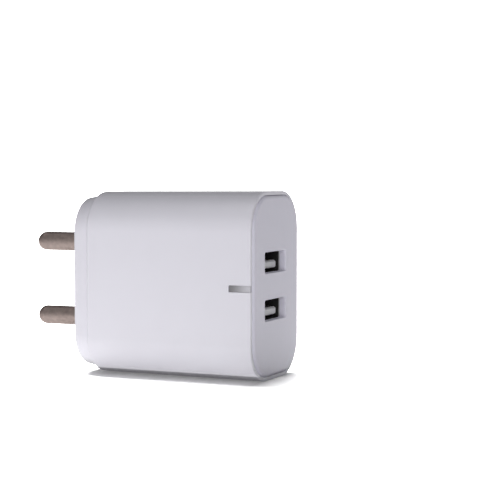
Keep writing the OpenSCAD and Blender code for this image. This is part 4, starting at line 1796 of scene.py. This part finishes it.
@dataclass
class Studio:
    """The pale floor and backdrop, the soft lights and the camera.

    Attributes:
        effects: The shader effects that the paper's material uses.
        azimuth: Degrees round the charger from the -Y side.
        elevation: Degrees above the horizon.
        distance: From the camera to what it looks at, in millimetres.
        target: What it looks at, in millimetres.
        lens: Focal length in millimetres on a 36 mm sensor.
        floor_z: Height of the floor, in millimetres.
        room: Strength of the room's own light.
    """

    effects: Effects
    azimuth: float = 23.58
    elevation: float = 3.08
    distance: float = 363.7
    target: Point = (41.82, 0.0, 8.32)
    lens: float = 108.0
    floor_z: float = -22.66
    room: float = 0.085

    def build(self) -> None:
        """Sets up the whole studio."""
        paper = self._cyclorama()
        self._lights(paper)
        self._camera()

    def _cyclorama(self) -> bpy.types.Object:
        """Models the floor that curves up into the backdrop.

        Returns:
            The floor with its raised back.
        """
        only_none()
        span, back, bend = 1600.0, 700.0, 400.0
        bpy.ops.mesh.primitive_plane_add(size=span, location=(0, back - span / 2, self.floor_z))
        floor = bpy.context.object
        floor.name = "studio_floor"
        bpy.ops.object.transform_apply(location=True, rotation=True, scale=True)
        sweep = Workpiece(floor)
        sweep.pick_edges(lambda a, b: min(a.y, b.y) > back - 1)
        bpy.ops.mesh.extrude_region_move(TRANSFORM_OT_translate={"value": (0, 0, span)})
        sweep.done()
        sweep.bevel_edges(lambda a, b: min(a.y, b.y) > back - 1
                          and max(a.z, b.z) < self.floor_z + 1, bend, 16)
        only(floor)
        floor.scale = (MM, MM, MM)
        bpy.ops.object.transform_apply(location=True, rotation=True, scale=True)
        bpy.ops.object.shade_smooth()
        paper = Glow("studio_paper", (0.9, 0.9, 0.9), 0.7, 0.004, 0.02, patch=0.004, grain=0.3,
                     relief=0.0, lift=0.1, passed=0.1, bounced=0.11).build(self.effects)
        floor.data.materials.append(paper)
        return floor

    def _light(self, name: str, place: Point, size: tuple[float, float], power: float,
               aim: Point = (25, 0, 0)) -> bpy.types.Object:
        """Adds a soft box that faces the charger or another point.

        Args:
            name: The light's name.
            place: Where it is, in millimetres.
            size: Its width and height, in millimetres.
            power: Its power in watts.
            aim: The point that it faces, in millimetres.

        Returns:
            The light.
        """
        only_none()
        at = Vector(place) * MM
        bpy.ops.object.light_add(type="AREA", location=at)
        lamp = bpy.context.object
        lamp.name = name
        lamp.data.shape = "RECTANGLE"
        lamp.data.size, lamp.data.size_y = size[0] * MM, size[1] * MM
        lamp.data.energy = power
        lamp.rotation_mode = "QUATERNION"
        lamp.rotation_quaternion = (Vector(aim) * MM - at).to_track_quat("-Z", "Y")
        return lamp

    def _lights(self, paper: bpy.types.Object) -> None:
        """Adds the soft boxes and the room's own light.

        Args:
            paper: The floor and backdrop. One soft box lights nothing else, and the top box and
                the card that lies in front of the case leave it alone.
        """
        self._light("key_softbox", (317, -625, 40), (380, 500), 2.0)
        self._light("fill_softbox", (-500, -550, 200), (500, 400), 0.25)
        above = self._light("floor_softbox", (-190, 170, 620), (460, 460), 40.0)
        only_paper = bpy.data.collections.new("only_paper")
        only_paper.objects.link(paper)
        above.light_linking.receiver_collection = only_paper
        all_but_paper = bpy.data.collections.new("all_but_paper")
        all_but_paper.objects.link(paper)
        all_but_paper.collection_objects[0].light_linking.link_state = "EXCLUDE"
        top = self._light("top_softbox", (0, -180, 560), (400, 300), 0.66)
        card = self._light("floor_card", (5, -84, -21), (88, 150), 0.016, (5, -84, 100))
        card.visible_camera = False
        for lamp in (top, card):
            lamp.light_linking.receiver_collection = all_but_paper
        world = bpy.data.worlds.new("studio_room")
        bpy.context.scene.world = world
        world.use_nodes = True
        background = world.node_tree.nodes["Background"]
        background.inputs["Color"].default_value = (0.97, 0.97, 1.0, 1.0)
        nodes = Nodes(world.node_tree)
        seen = nodes.add("ShaderNodeLightPath").outputs["Is Camera Ray"]
        strength = nodes.math("MAXIMUM", seen, self.room)
        nodes.link(strength, background.inputs["Strength"])

    def _camera(self) -> None:
        """Places the camera where the studio's fields say and looks at the target."""
        a, e = math.radians(self.azimuth), math.radians(self.elevation)
        back = Vector((math.sin(a) * math.cos(e), -math.cos(a) * math.cos(e), math.sin(e)))
        only_none()
        bpy.ops.object.camera_add(location=(Vector(self.target) + back * self.distance) * MM)
        camera = bpy.context.object
        camera.name = "studio_camera"
        camera.data.lens = self.lens
        camera.data.sensor_width = 36.0
        camera.data.clip_start, camera.data.clip_end = 0.01, 20.0
        camera.rotation_mode = "QUATERNION"
        camera.rotation_quaternion = (-back).to_track_quat("-Z", "Y")
        bpy.context.scene.camera = camera
        bpy.context.scene.view_settings.view_transform = "Standard"


def main() -> None:
    """Builds the charger piece by piece, then the studio."""
    logging.basicConfig(level=logging.INFO, format="%(name)s: %(message)s")
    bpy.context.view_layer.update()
    effects = Effects()
    paint = {finish.name: finish.build(effects) for finish in finishes()}
    dress_cad(paint)
    CaseShell(paint["case_plastic"]).build()
    PortPlate(paint["plate_plastic"]).build()
    PlugCap(paint["case_plastic"]).build()
    PlugPin("upper_plug_pin", "upper_pin", SIZE.pin_z, paint["nickel"]).build()
    PlugPin("lower_plug_pin", "lower_pin", -SIZE.pin_z, paint["nickel"]).build()
    ContactSpring("upper_pin_spring", "upper_contact_spring", SIZE.pin_z,
                  paint["spring_brass"]).build()
    ContactSpring("lower_pin_spring", "lower_contact_spring", -SIZE.pin_z,
                  paint["spring_brass"]).build()
    LightPipe(paint["lens_plastic"]).build()
    for label, side in (("upper", 1), ("lower", -1)):
        UsbPort(label, side * SIZE.port_z, paint["port_steel"], paint["port_plastic"],
                paint["gold_contact"]).build()
    Studio(effects).build()


if __name__ == "__main__":
    main()
